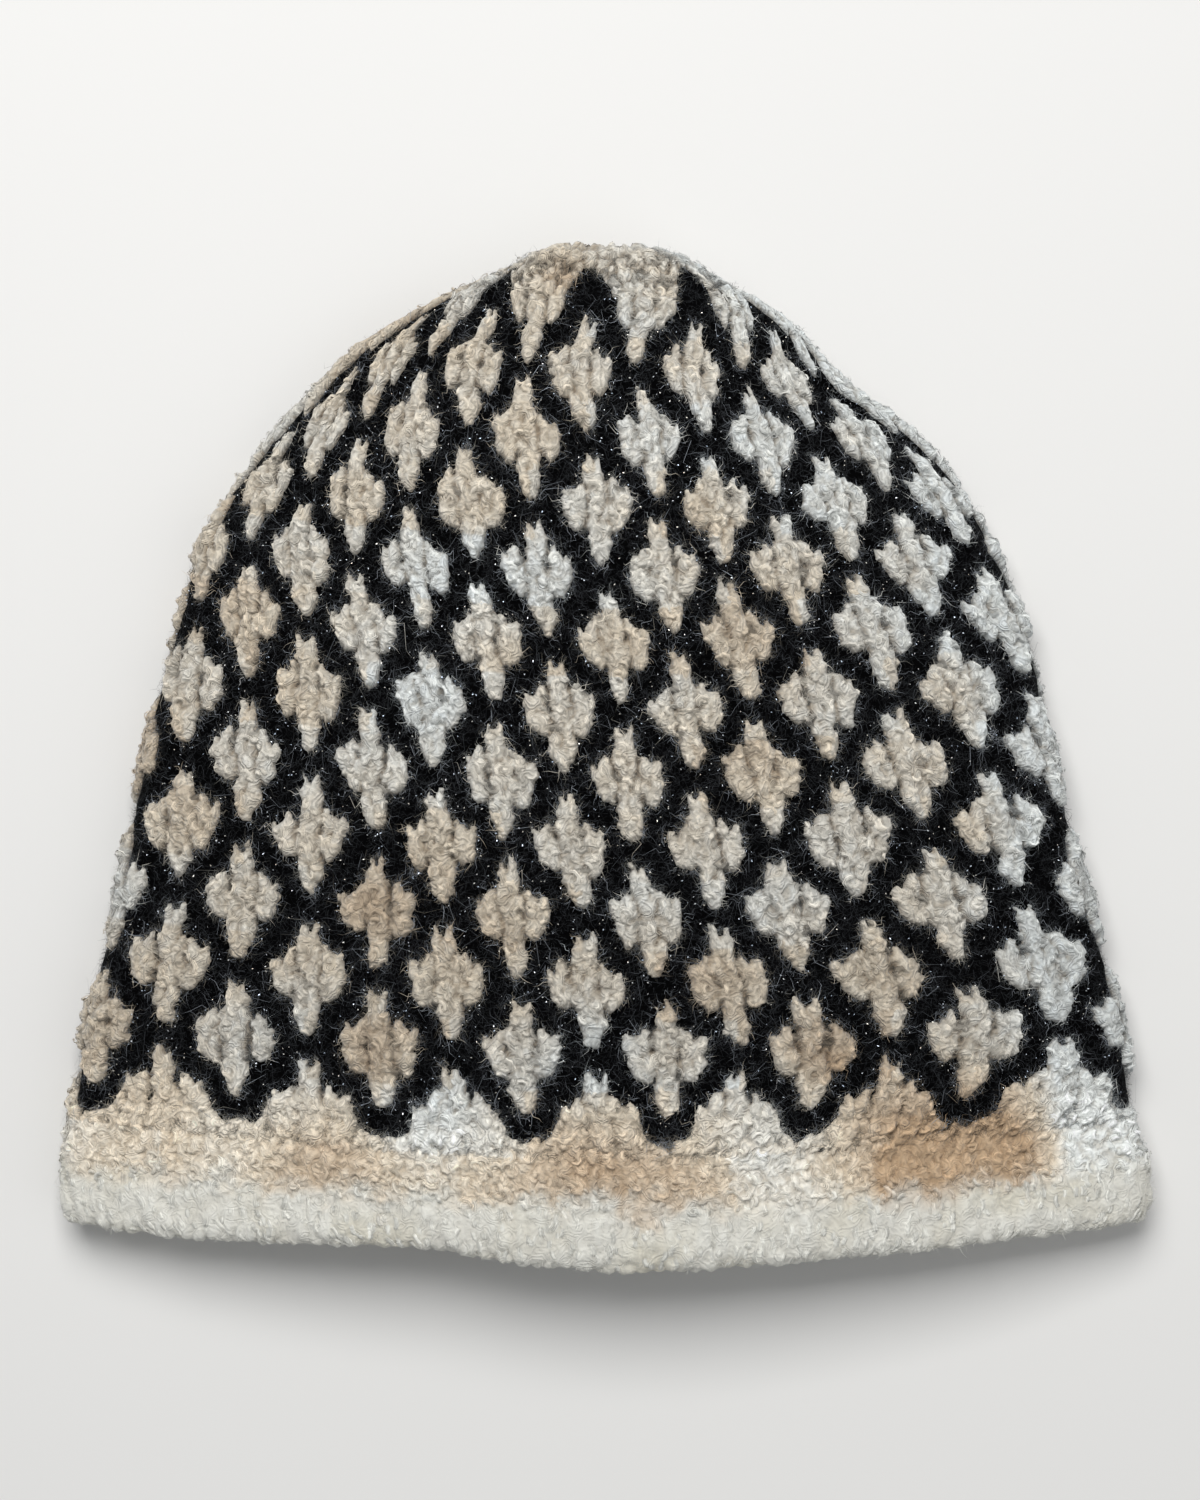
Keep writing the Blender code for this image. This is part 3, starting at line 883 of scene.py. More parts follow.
# Metal thread: its cool colour, the scale of its turns, and where they begin and end
GLINT_COOL = (0.70, 0.82, 1.0)
GLINT_SCALE = 260.0
GLINT_TURNS = (0.38, 0.62)
GLINT_METAL = 0.4
GLINT_ROUGHNESS = 0.35


def new_material(name):
    """A material that isn't metal, with its nodes, its links and its shader."""
    material = bpy.data.materials.new(name)
    material.use_nodes = True
    shader = material.node_tree.nodes["Principled BSDF"]
    shader.inputs["Metallic"].default_value = 0.0
    return material, material.node_tree.nodes, material.node_tree.links, shader


def add_node(nodes, kind, **inputs):
    """A node with values on its sockets, each named with underscores for spaces."""
    node = nodes.new(kind)
    for name, value in inputs.items():
        node.inputs[name.replace("_", " ")].default_value = value
    return node


def yarn_material(name, roughness, sheen, streaks, bump_height, shine=0.2):
    """Wool: its tint broken up by fine curly striations, with a bump of the same fibres."""
    material, nodes, links, shader = new_material(name)
    shader.inputs["Roughness"].default_value = roughness
    shader.inputs["Specular IOR Level"].default_value = shine
    shader.inputs["Sheen Weight"].default_value = sheen
    shader.inputs["Sheen Roughness"].default_value = SHEEN_ROUGHNESS
    place = nodes.new("ShaderNodeNewGeometry")
    swirl = add_node(nodes, "ShaderNodeTexNoise", Scale=SWIRL_SCALE, Detail=0.0, Distortion=0.4)
    clump = add_node(
        nodes, "ShaderNodeTexNoise", Scale=CLUMP_SCALE, Detail=4.0, Roughness=0.6, Distortion=1.0
    )
    links.new(place.outputs["Position"], swirl.inputs["Vector"])
    links.new(place.outputs["Position"], clump.inputs["Vector"])
    rings = nodes.new("ShaderNodeMath")
    rings.operation = "MULTIPLY"
    rings.inputs[1].default_value = SWIRL_RINGS
    links.new(swirl.outputs["Fac"], rings.inputs[0])
    fibre = nodes.new("ShaderNodeMath")
    fibre.operation = "SINE"
    links.new(rings.outputs[0], fibre.inputs[0])
    source = nodes.new("ShaderNodeAttribute")
    source.attribute_name = "tint"
    mixed = nodes.new("ShaderNodeMath")
    mixed.operation = "MULTIPLY_ADD"
    mixed.inputs[1].default_value = SWIRL_SHARE
    links.new(fibre.outputs[0], mixed.inputs[0])
    links.new(clump.outputs["Fac"], mixed.inputs[2])
    shade = nodes.new("ShaderNodeMapRange")
    shade.inputs["From Min"].default_value = STREAKS_FROM
    shade.inputs["From Max"].default_value = STREAKS_TO
    shade.inputs["To Min"].default_value = 1.0 - streaks
    shade.inputs["To Max"].default_value = 1.0 + streaks * 0.5
    links.new(mixed.outputs[0], shade.inputs["Value"])
    scaled = nodes.new("ShaderNodeVectorMath")
    scaled.operation = "SCALE"
    links.new(source.outputs["Color"], scaled.inputs[0])
    links.new(shade.outputs["Result"], scaled.inputs["Scale"])
    links.new(scaled.outputs["Vector"], shader.inputs["Base Color"])
    bump = nodes.new("ShaderNodeBump")
    bump.inputs["Strength"].default_value = 1.0
    bump.inputs["Distance"].default_value = bump_height
    links.new(mixed.outputs[0], bump.inputs["Height"])
    links.new(bump.outputs["Normal"], shader.inputs["Normal"])
    return material


def glint_material(colour):
    """Metal thread that turns between a cool colour and its own."""
    material, nodes, links, shader = new_material("metal_thread")
    shader.inputs["Metallic"].default_value = GLINT_METAL
    shader.inputs["Roughness"].default_value = GLINT_ROUGHNESS
    place = nodes.new("ShaderNodeNewGeometry")
    hue = add_node(nodes, "ShaderNodeTexNoise", Scale=GLINT_SCALE, Detail=1.0)
    ramp = nodes.new("ShaderNodeValToRGB")
    for element, turn, hue_colour in zip(ramp.color_ramp.elements, GLINT_TURNS, (GLINT_COOL, colour)):
        element.position = turn
        element.color = (*hue_colour, 1.0)
    links.new(place.outputs["Position"], hue.inputs["Vector"])
    links.new(hue.outputs["Fac"], ramp.inputs["Fac"])
    links.new(ramp.outputs["Color"], shader.inputs["Base Color"])
    return material


def dress(piece, material, slot, *nodes):
    """Gives a piece its material and fixes it to the hat, in place of any plain solids named."""
    piece.data.materials.append(material)
    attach(piece, "root")
    if nodes:
        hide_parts(*nodes)
    return piece


# The pieces


# The relief's columns, which are closer on the front than on the back, and the steps of its rows up to the
# band's top and over it
FRONT_STITCHES = np.arange(-24.0, 27.5, 0.125)
BACK_STITCHES = np.arange(27.5, 66.0, 0.30)
HEM_STEP = 0.17
COURSE_STEP = 0.13

# Where the band's fleece meets the diamonds, and the diamonds the crown, in courses
BRIM_TOP_COURSE = -4.6
CROWN_COURSE = 35.1

# The seed of the stitches' chances, and the one relief, kept once it is made
SEED = 5
RELIEFS = {}

# How far the dark hair round the diamonds dims their yarn, and how far under the net their edges are kept
VEIL = 0.36
EDGE_KEPT = 0.0009

# The roughness of the knitted yarns
ROUGH = 0.95


def hat_relief(shell):
    """The yarn's relief over the whole hat, made once."""
    if "hat" not in RELIEFS:
        last = shell.roll_course - ROLL_COURSES - INNER_COURSES
        below = np.arange(last, BRIM_TOP_COURSE, HEM_STEP)
        above = np.arange(BRIM_TOP_COURSE, shell.last_course, COURSE_STEP)
        stitches = np.concatenate([FRONT_STITCHES, BACK_STITCHES])
        RELIEFS["hat"] = YarnRelief(shell, stitches, np.concatenate([below, above]), SEED)
    return RELIEFS["hat"]


def veil_and_painted_light(course):
    """How far the dark yarn's halo dims the cream yarn: in the diamonds, not in the band. Higher up it dims
    less, as painted light for the brighter light there.
    """
    rising = smooth_step(FIRST_COURSE - 0.5, FIRST_COURSE + 3.5, course)
    # Painted light: the dimming eases towards the crown, so the upper diamonds are lighter
    return 1 - VEIL * rising * (1 - 0.15 * smooth_step(2, 14, course))


def hem_whiteness(shell, points, course):
    """How far the yarn has turned to the hem's white: a ragged border along the foot of the band."""
    ragged = 0.9 * noise_at(points, 0.011, 13.5) + 0.8 * noise_at(points, 0.0035, 13.7)
    return smooth_step(shell.hem_course + 1.1, shell.hem_course - 0.7, course + ragged)


# The shade in a crease between two cream tufts is warm: its powers for red, green and blue. Faint warm spots
# on the hem take these shares of the three.
WARM_SHADE = np.array([0.88, 1.0, 1.14])
HEM_SPOTS = np.array([0.08, 0.12, 0.22])


def relief_tint(relief, colours, rows):
    """The yarn's colour over rows of the relief: cream with painted shade in its creases and hollows, white
    on the hem.
    """
    flat = relief.flat[rows]
    warm = yarn_turn(flat, relief.stitch_grid[rows], relief.course_grid[rows])
    band = yarn_colour(colours, warm)
    spots = np.clip(noise_at(flat, 0.012, 13.0), 0, 1)[..., None]
    white = np.array(colours.hem_white[:]) * (1 - spots * HEM_SPOTS)
    whiter = hem_whiteness(relief.shell, flat, relief.course_grid[rows])
    tint = band + (white - band) * whiter[..., None]
    # Painted shade, warm in the creases: the share of light that the relief keeps
    shade = np.clip(relief.shade[rows], 0.05, 1.5)[..., None] ** WARM_SHADE
    return tint * shade * veil_and_painted_light(relief.course_grid[rows])[..., None]


def rows_between(relief, low, high):
    """The relief's rows from one course to another, as a slice whose last row the next slice shares."""
    first, last = np.searchsorted(relief.courses, [low - 1e-6, high - 1e-6])
    return slice(first, min(last + 1, len(relief.courses)))


def relief_points(relief, rows):
    """The relief's points over its rows."""
    return relief.shell.lifted(relief.course_grid[rows], relief.share[rows], relief.lift[rows])


def add_cream_sheet(name, relief, colours, rows, columns):
    """The relief's cream stitches as a sheet that dips into the net all round them."""
    block = relief.lift[rows]
    points = relief_points(relief, rows)
    tint = relief_tint(relief, colours, rows)
    faces = ring_faces(*block.shape)
    column = faces[:, 0] % block.shape[1]
    showing = block.ravel() > -relief.shell.sizes.net_depth - EDGE_KEPT
    faces = faces[showing[faces].any(axis=1) & (column >= columns[0]) & (column < columns[1])]
    points, tint, faces = kept_points(points, tint, faces)
    return add_mesh(name, points, [faces], tint)


def wall_mesh(name, shell, low, high, lift_at, columns, rows, lining_rows, tints):
    """A closed ring of wall between two courses: a lifted face and a plain lining, each with its tint."""
    shares = np.arange(columns) / columns
    outer_course, outer_share = np.meshgrid(np.linspace(low, high, rows), shares, indexing="ij")
    flat = shell.skin(outer_course, outer_share)
    outer = shell.lifted(outer_course, outer_share, lift_at(flat))
    inner_course, inner_share = np.meshgrid(np.linspace(high, low, lining_rows), shares, indexing="ij")
    lining = shell.point(shell.height_of(inner_course), inner_share, shell.sizes.wall)
    ripple = 0.00035 * noise_at(lining, 0.004, 14.0)
    lining = lining + shell.frame_at(inner_course, inner_share)[0] * ripple[..., None]
    points = np.concatenate([outer, lining])
    tint = np.concatenate([np.ones(outer.shape) * tints[0], np.ones(lining.shape) * tints[1]])
    faces = ring_faces(rows + lining_rows, columns, closed_up=True)
    return add_mesh(name, points, [faces], tint)


class BEANIE_OT_net_wall(bpy.types.Operator):
    """Knits the dark wall that the diamonds stand on, with its lining"""

    bl_idname = "beanie.net_wall"
    bl_label = "Dark Net Wall"
    COLUMNS = 250
    ROWS = 80
    LINING_ROWS = 12

    def execute(self, context):
        shell = Shell(context.scene.beanie_sizes)
        depth = shell.sizes.net_depth
        colours = context.scene.beanie_colours

        def knobbly(flat):
            waves = noise_at(flat, 0.0035, 15.0)
            return -depth + 0.0004 * waves + 0.0003 * (clumps_at(flat, 0.0024, 16.0) - 0.5)

        piece = wall_mesh(
            "net_wall", shell, FIRST_COURSE - 0.6, CAP_COURSE + 1.2, knobbly, self.COLUMNS, self.ROWS,
            self.LINING_ROWS, (colours.net[:], colours.net_lining[:]),
        )
        material = yarn_material("dark_yarn", ROUGH, sheen=0.0, streaks=0.5, bump_height=0.0006, shine=0.05)
        dress(piece, material, "charcoal_mohair", "diamond_body")
        return {"FINISHED"}


class BEANIE_OT_brim_band(bpy.types.Operator):
    """Knits the plain band under the diamonds: its wall with the lining, and its fleece"""

    bl_idname = "beanie.brim_band"
    bl_label = "Brim Band"
    COLUMNS = 240
    ROWS = 8
    LINING_ROWS = 7
    SUNK = -0.0014

    def execute(self, context):
        shell = Shell(context.scene.beanie_sizes)
        colours = context.scene.beanie_colours

        def sunk(flat):
            return self.SUNK + 0.0003 * noise_at(flat, 0.0035, 17.0)

        cream = colours.cream[:]
        wall = wall_mesh(
            "band_wall", shell, shell.hem_course - 0.2, FIRST_COURSE - 0.65, sunk, self.COLUMNS, self.ROWS,
            self.LINING_ROWS, (cream, cream),
        )
        material = yarn_material("cream_lining_yarn", ROUGH, sheen=0.2, streaks=0.25, bump_height=0.0006)
        dress(wall, material, "cream_boucle", "brim_band")
        relief = hat_relief(shell)
        rows = rows_between(relief, shell.hem_course, BRIM_TOP_COURSE)
        fleece = add_cream_sheet("band_fleece", relief, colours, rows, (0, len(relief.stitches)))
        material = yarn_material("band_yarn", ROUGH, sheen=0.3, streaks=0.16, bump_height=0.0004)
        dress(fleece, material, "cream_boucle")
        return {"FINISHED"}


class BEANIE_OT_rolled_hem(bpy.types.Operator):
    """Rolls the thick white hem, with its upright tufts"""

    bl_idname = "beanie.rolled_hem"
    bl_label = "Rolled Hem"

    def execute(self, context):
        shell = Shell(context.scene.beanie_sizes)
        relief = hat_relief(shell)
        rows = rows_between(relief, relief.courses[0], shell.hem_course)
        columns = (0, len(relief.stitches))
        piece = add_cream_sheet("hem_fleece", relief, context.scene.beanie_colours, rows, columns)
        material = yarn_material("white_yarn", ROUGH, sheen=0.35, streaks=0.08, bump_height=0.00022)
        dress(piece, material, "white_boucle", "rolled_hem")
        return {"FINISHED"}


class BEANIE_OT_crown(bpy.types.Operator):
    """Closes the crown with the last cream courses, drawn together at its end"""

    bl_idname = "beanie.crown"
    bl_label = "Crown"
    CLOSING_RINGS = 12
    CLOSING_BEHIND = 0.0004

    # Only every second column is kept here, where the columns crowd
    EVERY = 2

    # The closed end puffs out a little, in tufts, with painted shade in the creases between them and painted
    # light on the tufts
    TUFT_SIZE = 0.0034
    PUFF = 0.0010
    TUFT_PUFF = 0.0022
    PAINTED_CREASE_SHADE = 0.70
    PAINTED_TUFT_LIGHT = 0.35

    def execute(self, context):
        shell = Shell(context.scene.beanie_sizes)
        colours = context.scene.beanie_colours
        relief = hat_relief(shell)
        rows = rows_between(relief, CROWN_COURSE, relief.courses[-1])
        rings = relief_points(relief, rows)[:, :: self.EVERY]
        tint = relief_tint(relief, colours, rows)[:, :: self.EVERY]
        rim = rings[-1]
        centre = rim.mean(axis=0) + np.array([0.0, self.CLOSING_BEHIND, 0.0])
        inward = np.linspace(0, 1, self.CLOSING_RINGS + 1)[1:-1, None, None]
        closing = rim[None] + (centre - rim)[None] * inward
        tufts = clumps_at(closing, self.TUFT_SIZE, 33.0)[..., None]
        puff = (self.PUFF + self.TUFT_PUFF * (tufts - 0.5)) * np.sin(inward * math.pi)
        closing = closing + np.array([0, 1, 0]) * puff
        points = np.concatenate([rings.reshape(-1, 3), closing.reshape(-1, 3), centre[None]])
        around = rim.shape[0]
        height = rings.shape[0] + closing.shape[0]
        faces = ring_faces(height, around)
        last = np.arange((height - 1) * around, height * around)
        tip = np.stack([last, np.roll(last, -1), np.full_like(last, height * around)], axis=-1)
        closing_tint = np.repeat(tint[-1:], closing.shape[0], axis=0)
        # Painted shade: the closing's creases darker, its tufts lighter
        closing_tint = closing_tint * (self.PAINTED_CREASE_SHADE + self.PAINTED_TUFT_LIGHT * tufts)
        tints = np.concatenate([tint.reshape(-1, 3), closing_tint.reshape(-1, 3), tint[-1, :1]])
        piece = add_mesh("crown_fleece", points, [faces, tip], tints)
        material = yarn_material("crown_yarn", ROUGH, sheen=0.3, streaks=0.28, bump_height=0.0006)
        dress(piece, material, "cream_boucle", "crown_cap")
        return {"FINISHED"}


class BEANIE_OT_diamonds(bpy.types.Operator):
    """Raises the cream diamonds and their stitches, on the front and the back"""

    bl_idname = "beanie.diamonds"
    bl_label = "Cream Diamonds"

    def execute(self, context):
        shell = Shell(context.scene.beanie_sizes)
        colours = context.scene.beanie_colours
        relief = hat_relief(shell)
        material = yarn_material("cream_yarn", ROUGH, sheen=0.3, streaks=0.28, bump_height=0.0006)
        rows = rows_between(relief, BRIM_TOP_COURSE, CROWN_COURSE)
        front = len(FRONT_STITCHES)
        for side, columns in (("front", (0, front)), ("back", (front, len(relief.stitches)))):
            piece = add_cream_sheet(f"cream_diamonds_{side}", relief, colours, rows, columns)
            dress(piece, material, "cream_boucle")
        return {"FINISHED"}


# Places tried for each fibre; how far down the roll they lie, in courses, and how far round, a share of the
# way; and the step round that measures the room there
TRIES = 24
LOWEST_ON_ROLL = 1.3
FARTHEST_ROUND = 0.265
ROOM_STEP = 0.004


def scattered(relief, random, count, wanted):
    """Random places on the hat's front that a test of their lift and course accepts, evenly spread."""
    stitch = random.uniform(FRONT_STITCHES[0], FRONT_STITCHES[-1], count * TRIES)
    course = random.uniform(relief.shell.roll_course - LOWEST_ON_ROLL, relief.courses[-1], count * TRIES)
    share = relief.shell.share_of(stitch, course)
    here = relief.shell.skin(course, share)
    beside = relief.shell.skin(course, share + ROOM_STEP)
    room = np.linalg.norm(beside - here, axis=-1)
    seen = (np.abs(share) < FARTHEST_ROUND) & (random.uniform(0, room.max(), len(room)) < room)
    stitch, course = stitch[seen], course[seen]
    keep = wanted(relief.read(stitch, course), course)
    return stitch[keep][:count], course[keep][:count]


def on_relief(relief, stitch, course, lift):
    """Points over the relief, with the way out of the surface."""
    share = relief.shell.share_of(stitch, course)
    normal, _, _ = relief.shell.frame_at(course, share)
    return relief.shell.skin(course, share) + normal * lift[..., None], normal


def hem_share(relief, course):
    """1 on the hem, 0 on the band, and between them along their border."""
    return smooth_step(relief.shell.hem_course + 0.8, relief.shell.hem_course - 0.8, course)


def fibre_tint(colours, relief, points, stitch, course, tone):
    """The yarn's colour under loose fibres, made lighter or darker by a tone of each, and by the painted
    shade and light under them.
    """
    band = yarn_colour(colours, yarn_turn(points, stitch, course))
    whiter = hem_whiteness(relief.shell, points, course)[..., None]
    tint = band + (np.array(colours.hem_white[:]) - band) * whiter
    # Painted shade of the relief's hollows and creases, carried onto the fibres
    shade = relief.read(np.ravel(stitch), np.ravel(course), relief.shade).reshape(np.shape(stitch))
    return np.clip(tint * tone * (shade * veil_and_painted_light(course))[..., None], 0, 0.95)


# Points along a strand, strands across a lock, and how far a lock's outer strands turn to face sideways
LOCK_STEPS = 5
LOCK_STRANDS = 5
LOCK_ROUND = 0.8

# The radius of a lock's arc and how far round it sweeps, at least and at most: upright on the hem, and
# elsewhere
HEM_LOCK_RADIUS = (0.0016, 0.0030)
LOCK_RADIUS = (0.0006, 0.0015)
HEM_LOCK_SWEEP = (0.7, 1.5)
LOCK_SWEEP = (1.6, 3.8)

# A lock's least rise, how much lower its sides and its ends lie, and how much flatter it lies on the hem
LOCK_LEAST_RISE = 0.00005
LOCK_SIDE_DROP = 0.75
LOCK_END_DROP = 2.4
HEM_LOCK_FLATTER = 0.6


def lock_paths(relief, random, stitch, course, fibres):
    """Locks of yarn: a few strands side by side along one arc on the relief, long and upright on the hem."""
    count = len(stitch)
    upright = hem_share(relief, course) > random.uniform(0.2, 0.8, count)
    radius = np.where(upright, random.uniform(*HEM_LOCK_RADIUS, count), random.uniform(*LOCK_RADIUS, count))
    sweep = np.where(upright, random.uniform(*HEM_LOCK_SWEEP, count), random.uniform(*LOCK_SWEEP, count))
    sweep = sweep * random.choice([-1, 1], count)
    sideways = random.choice([0, math.pi], count) + random.normal(0, 0.3, count)
    middle = np.where(upright, sideways, random.uniform(0, 2 * math.pi, count))
    t = np.linspace(-0.5, 0.5, LOCK_STEPS)
    angle = middle[:, None, None] + sweep[:, None, None] * t
    place = np.linspace(-1, 1, LOCK_STRANDS)
    spread = place[None, :] * fibres.lock_width / 2 * random.uniform(0.7, 1.2, (count, 1))
    strand_radius = (radius[:, None] + spread)[:, :, None]
    round_off = strand_radius * np.cos(angle) - (radius * np.cos(middle))[:, None, None]
    up_off = strand_radius * np.sin(angle) - (radius * np.sin(middle))[:, None, None]
    per_stitch, per_course = relief.shell.stitch_size(course, relief.shell.share_of(stitch, course))
    s = stitch[:, None, None] + round_off / per_stitch[:, None, None]
    c = course[:, None, None] + up_off / per_course[:, None, None]
    c = np.minimum(c, relief.courses[-1])
    lift = relief.read(s.ravel(), c.ravel()).reshape(s.shape)
    camber = (1 - LOCK_SIDE_DROP * place**2)[None, :, None] * (1 - LOCK_END_DROP * t**2)
    arch = random.uniform(LOCK_LEAST_RISE, fibres.lock_rise, (count, 1, 1)) * camber
    arch = arch * (1 - HEM_LOCK_FLATTER * upright[:, None, None])
    flat_s = s.reshape(-1, LOCK_STEPS)
    flat_c = c.reshape(-1, LOCK_STEPS)
    paths, normal = on_relief(relief, flat_s, flat_c, (lift + arch).reshape(flat_s.shape))
    middles = paths[:, LOCK_STEPS // 2].reshape(count, LOCK_STRANDS, 3)
    across = unit(middles[:, -1:] - middles[:, :1]) * place[None, :, None]
    facing = unit(normal[:, LOCK_STEPS // 2] + LOCK_ROUND * across.reshape(-1, 3))
    return paths, facing, flat_s, flat_c


class BEANIE_OT_curls(bpy.types.Operator):
    """Lays the looped yarn's curly locks over the cream stitches and the fleece"""

    bl_idname = "beanie.curls"
    bl_label = "Cream Curls"
    SEED = 41

    def execute(self, context):
        shell = Shell(context.scene.beanie_sizes)
        fibres = context.scene.beanie_fibres
        random = np.random.default_rng(self.SEED)
        relief = hat_relief(shell)

        def on_cream(lift, course):
            bare = hem_share(relief, course) * random.uniform(0, 1, len(course)) > 0.45
            return (lift > -0.0010) & ~bare

        stitch, course = scattered(relief, random, fibres.locks, on_cream)
        paths, facing, s, c = lock_paths(relief, random, stitch, course, fibres)
        count = len(paths)
        swell = 0.5 + 0.5 * np.sin(math.pi * np.linspace(0.1, 0.9, LOCK_STEPS))[None, :]
        radii = fibres.strand_radius * random.uniform(0.75, 1.25, count)[:, None] * swell
        tone = np.repeat(random.uniform(0.92, 1.10, len(stitch)), LOCK_STRANDS)
        tone = (tone * random.uniform(0.84, 1.24, count))[:, None, None]
        tint = fibre_tint(context.scene.beanie_colours, relief, paths, s, c, tone)
        material = yarn_material("curl_yarn", 0.9, sheen=0.3, streaks=0.12, bump_height=0.00015)
        paths = rest_on_floor(paths)
        right = paths[:, 0, 0] > 0
        for side, chosen in (("left", ~right), ("right", right)):
            points, faces, each = strand_mesh(paths[chosen], radii[chosen], facing[chosen])
            colours = np.repeat(tint[chosen][:, LOCK_STEPS // 2], each, axis=0)
            piece = add_mesh(f"cream_curls_{side}", points, faces, colours)
            dress(piece, material, "cream_boucle")
        return {"FINISHED"}


# Points along a hair, how far it bends back to the surface, and half the step that slopes are measured over
HAIR_STEPS = 4
HAIR_DROOP = 0.35
SLOPE_STEP = 0.0010

# A kind of hair: how far it strays from its way; how strongly the slope draws it; how far it rises, at least
# and at most; its length, as a gamma curve's shape and scale over the least one; its curl; and its radius,
# at least and at most, as a share of the usual one
Hair = namedtuple("Hair", "stray slope low_rise high_rise shape scale least curl thin thick")
CREAM_HAIR = Hair(0.75, 1.0, 0.2, 1.0, 2.5, 0.00045, 0.0006, 0.5, 0.8, 1.5)
HALO_HAIR = Hair(0.8, 1.4, 0.1, 1.0, 2.4, 0.00052, 0.0007, 0.55, 0.6, 1.1)
DARK_HAIR = Hair(1.0, 0.0, 0.15, 1.1, 3.0, 0.0006, 0.0009, 0.6, 0.6, 1.2)


def hair_paths(random, root, heading, normal, lengths, curl):
    """Fine fibres from roots along headings, bending down to the surface and curling sideways."""
    t = np.linspace(0, 1, HAIR_STEPS)[None, :, None]
    side = np.cross(heading, normal)
    bend = random.normal(0, curl, len(root))[:, None, None]
    wave = random.normal(0, curl * 0.5, len(root))[:, None, None]
    reach = lengths[:, None, None]
    path = root[:, None, :] + heading[:, None, :] * t * reach
    path = path + side[:, None, :] * reach * (bend * t**2 + wave * np.sin(2 * math.pi * t))
    return path - normal[:, None, :] * reach * HAIR_DROOP * t**2


def downhill(relief, stitch, course):
    """The way down the relief's slope at stitches and courses, longer where it is steeper."""
    share = relief.shell.share_of(stitch, course)
    _, round_way, up_way = relief.shell.frame_at(course, share)
    per_stitch, per_course = relief.shell.stitch_size(course, share)
    ds, dc = SLOPE_STEP / per_stitch, SLOPE_STEP / per_course
    slope_s = (relief.read(stitch + ds, course) - relief.read(stitch - ds, course)) / SLOPE_STEP
    slope_c = (relief.read(stitch, course + dc) - relief.read(stitch, course - dc)) / SLOPE_STEP
    return -(round_way * slope_s[:, None] + up_way * slope_c[:, None])


def brushed(relief, random, stitch, course, lift, hair, radius):
    """Hair brushed down the relief's slopes, or where no slope draws it every way along the surface."""
    root, normal = on_relief(relief, stitch, course, lift)
    count = len(stitch)
    stray = random.normal(0, hair.stray, (count, 3))
    if hair.slope:
        way = downhill(relief, stitch, course) * hair.slope + stray
    else:
        way = unit(stray - normal * (stray * normal).sum(axis=1, keepdims=True))
    rise = random.uniform(hair.low_rise, hair.high_rise, count)[:, None]
    heading = unit(way + normal * rise)
    reach = random.gamma(hair.shape, hair.scale, count) + hair.least
    paths = hair_paths(random, root, heading, normal, reach, hair.curl)
    radii = radius * random.uniform(hair.thin, hair.thick, count)
    return root, normal, paths, radii


def add_hair(name, paths, radii, normal, tint, material, slot, tip_tone=1.0):
    """Loose fibres along paths, thinner and darker towards their ends, each with its own tint."""
    taper = np.linspace(1.0, 0.6, paths.shape[1])[None, :]
    paths = rest_on_floor(paths)
    points, faces, _ = strand_mesh(paths, radii[:, None] * taper, normal, pointed_start=False)
    tone = np.linspace(1.0, tip_tone, paths.shape[1])
    tone = np.append(np.repeat(tone[:-1], 2), tone[-1])
    piece = add_mesh(name, points, faces, tint[:, None, :] * tone[None, :, None])
    return dress(piece, material, slot)


class BEANIE_OT_cream_fuzz(bpy.types.Operator):
    """Brushes loose cream fibres out of the stitches and the fleece"""

    bl_idname = "beanie.cream_fuzz"
    bl_label = "Cream Fuzz"
    SEED = 43

    def execute(self, context):
        shell = Shell(context.scene.beanie_sizes)
        fibres = context.scene.beanie_fibres
        random = np.random.default_rng(self.SEED)
        relief = hat_relief(shell)
        count = fibres.cream_fuzz
        stitch, course = scattered(relief, random, count, lambda lift, course: lift > -0.0006)
        lift = relief.read(stitch, course)
        root, normal, paths, radii = brushed(
            relief, random, stitch, course, lift, CREAM_HAIR, fibres.fuzz_radius
        )
        tint = fibre_tint(context.scene.beanie_colours, relief, root, stitch, course, 1.05)
        material = yarn_material("cream_fibre", 0.8, sheen=0.2, streaks=0.05, bump_height=0.0001)
        add_hair("cream_fuzz", paths, radii, normal, tint, material, "cream_boucle", tip_tone=0.6)
        return {"FINISHED"}


class BEANIE_OT_halo_fuzz(bpy.types.Operator):
    """Brushes a soft halo of fibres from the diamonds' edges over the net"""

    bl_idname = "beanie.halo_fuzz"
    bl_label = "Halo Fuzz"
    SEED = 45

    # The halo is a little bluer than the yarn that it comes from
    COOLER = np.array([0.95, 1.0, 1.05])

    def execute(self, context):
        shell = Shell(context.scene.beanie_sizes)
        fibres = context.scene.beanie_fibres
        random = np.random.default_rng(self.SEED)
        relief = hat_relief(shell)

        def on_edge(lift, course):
            return (lift > -0.0019) & (lift < -0.0001) & (course > FIRST_COURSE - 0.5)

        stitch, course = scattered(relief, random, fibres.halo_fuzz, on_edge)
        lift = np.maximum(relief.read(stitch, course), -shell.sizes.net_depth)
        root, normal, paths, radii = brushed(
            relief, random, stitch, course, lift, HALO_HAIR, fibres.fuzz_radius
        )
        tone = random.uniform(0.20, 0.95, len(stitch))[:, None] ** 1.2 * self.COOLER
        tint = fibre_tint(context.scene.beanie_colours, relief, root, stitch, course, tone)
        material = yarn_material("halo_fibre", 0.8, sheen=0.2, streaks=0.05, bump_height=0.0001)
        add_hair("halo_fuzz", paths, radii, normal, tint, material, "cream_boucle", tip_tone=0.2)
        return {"FINISHED"}


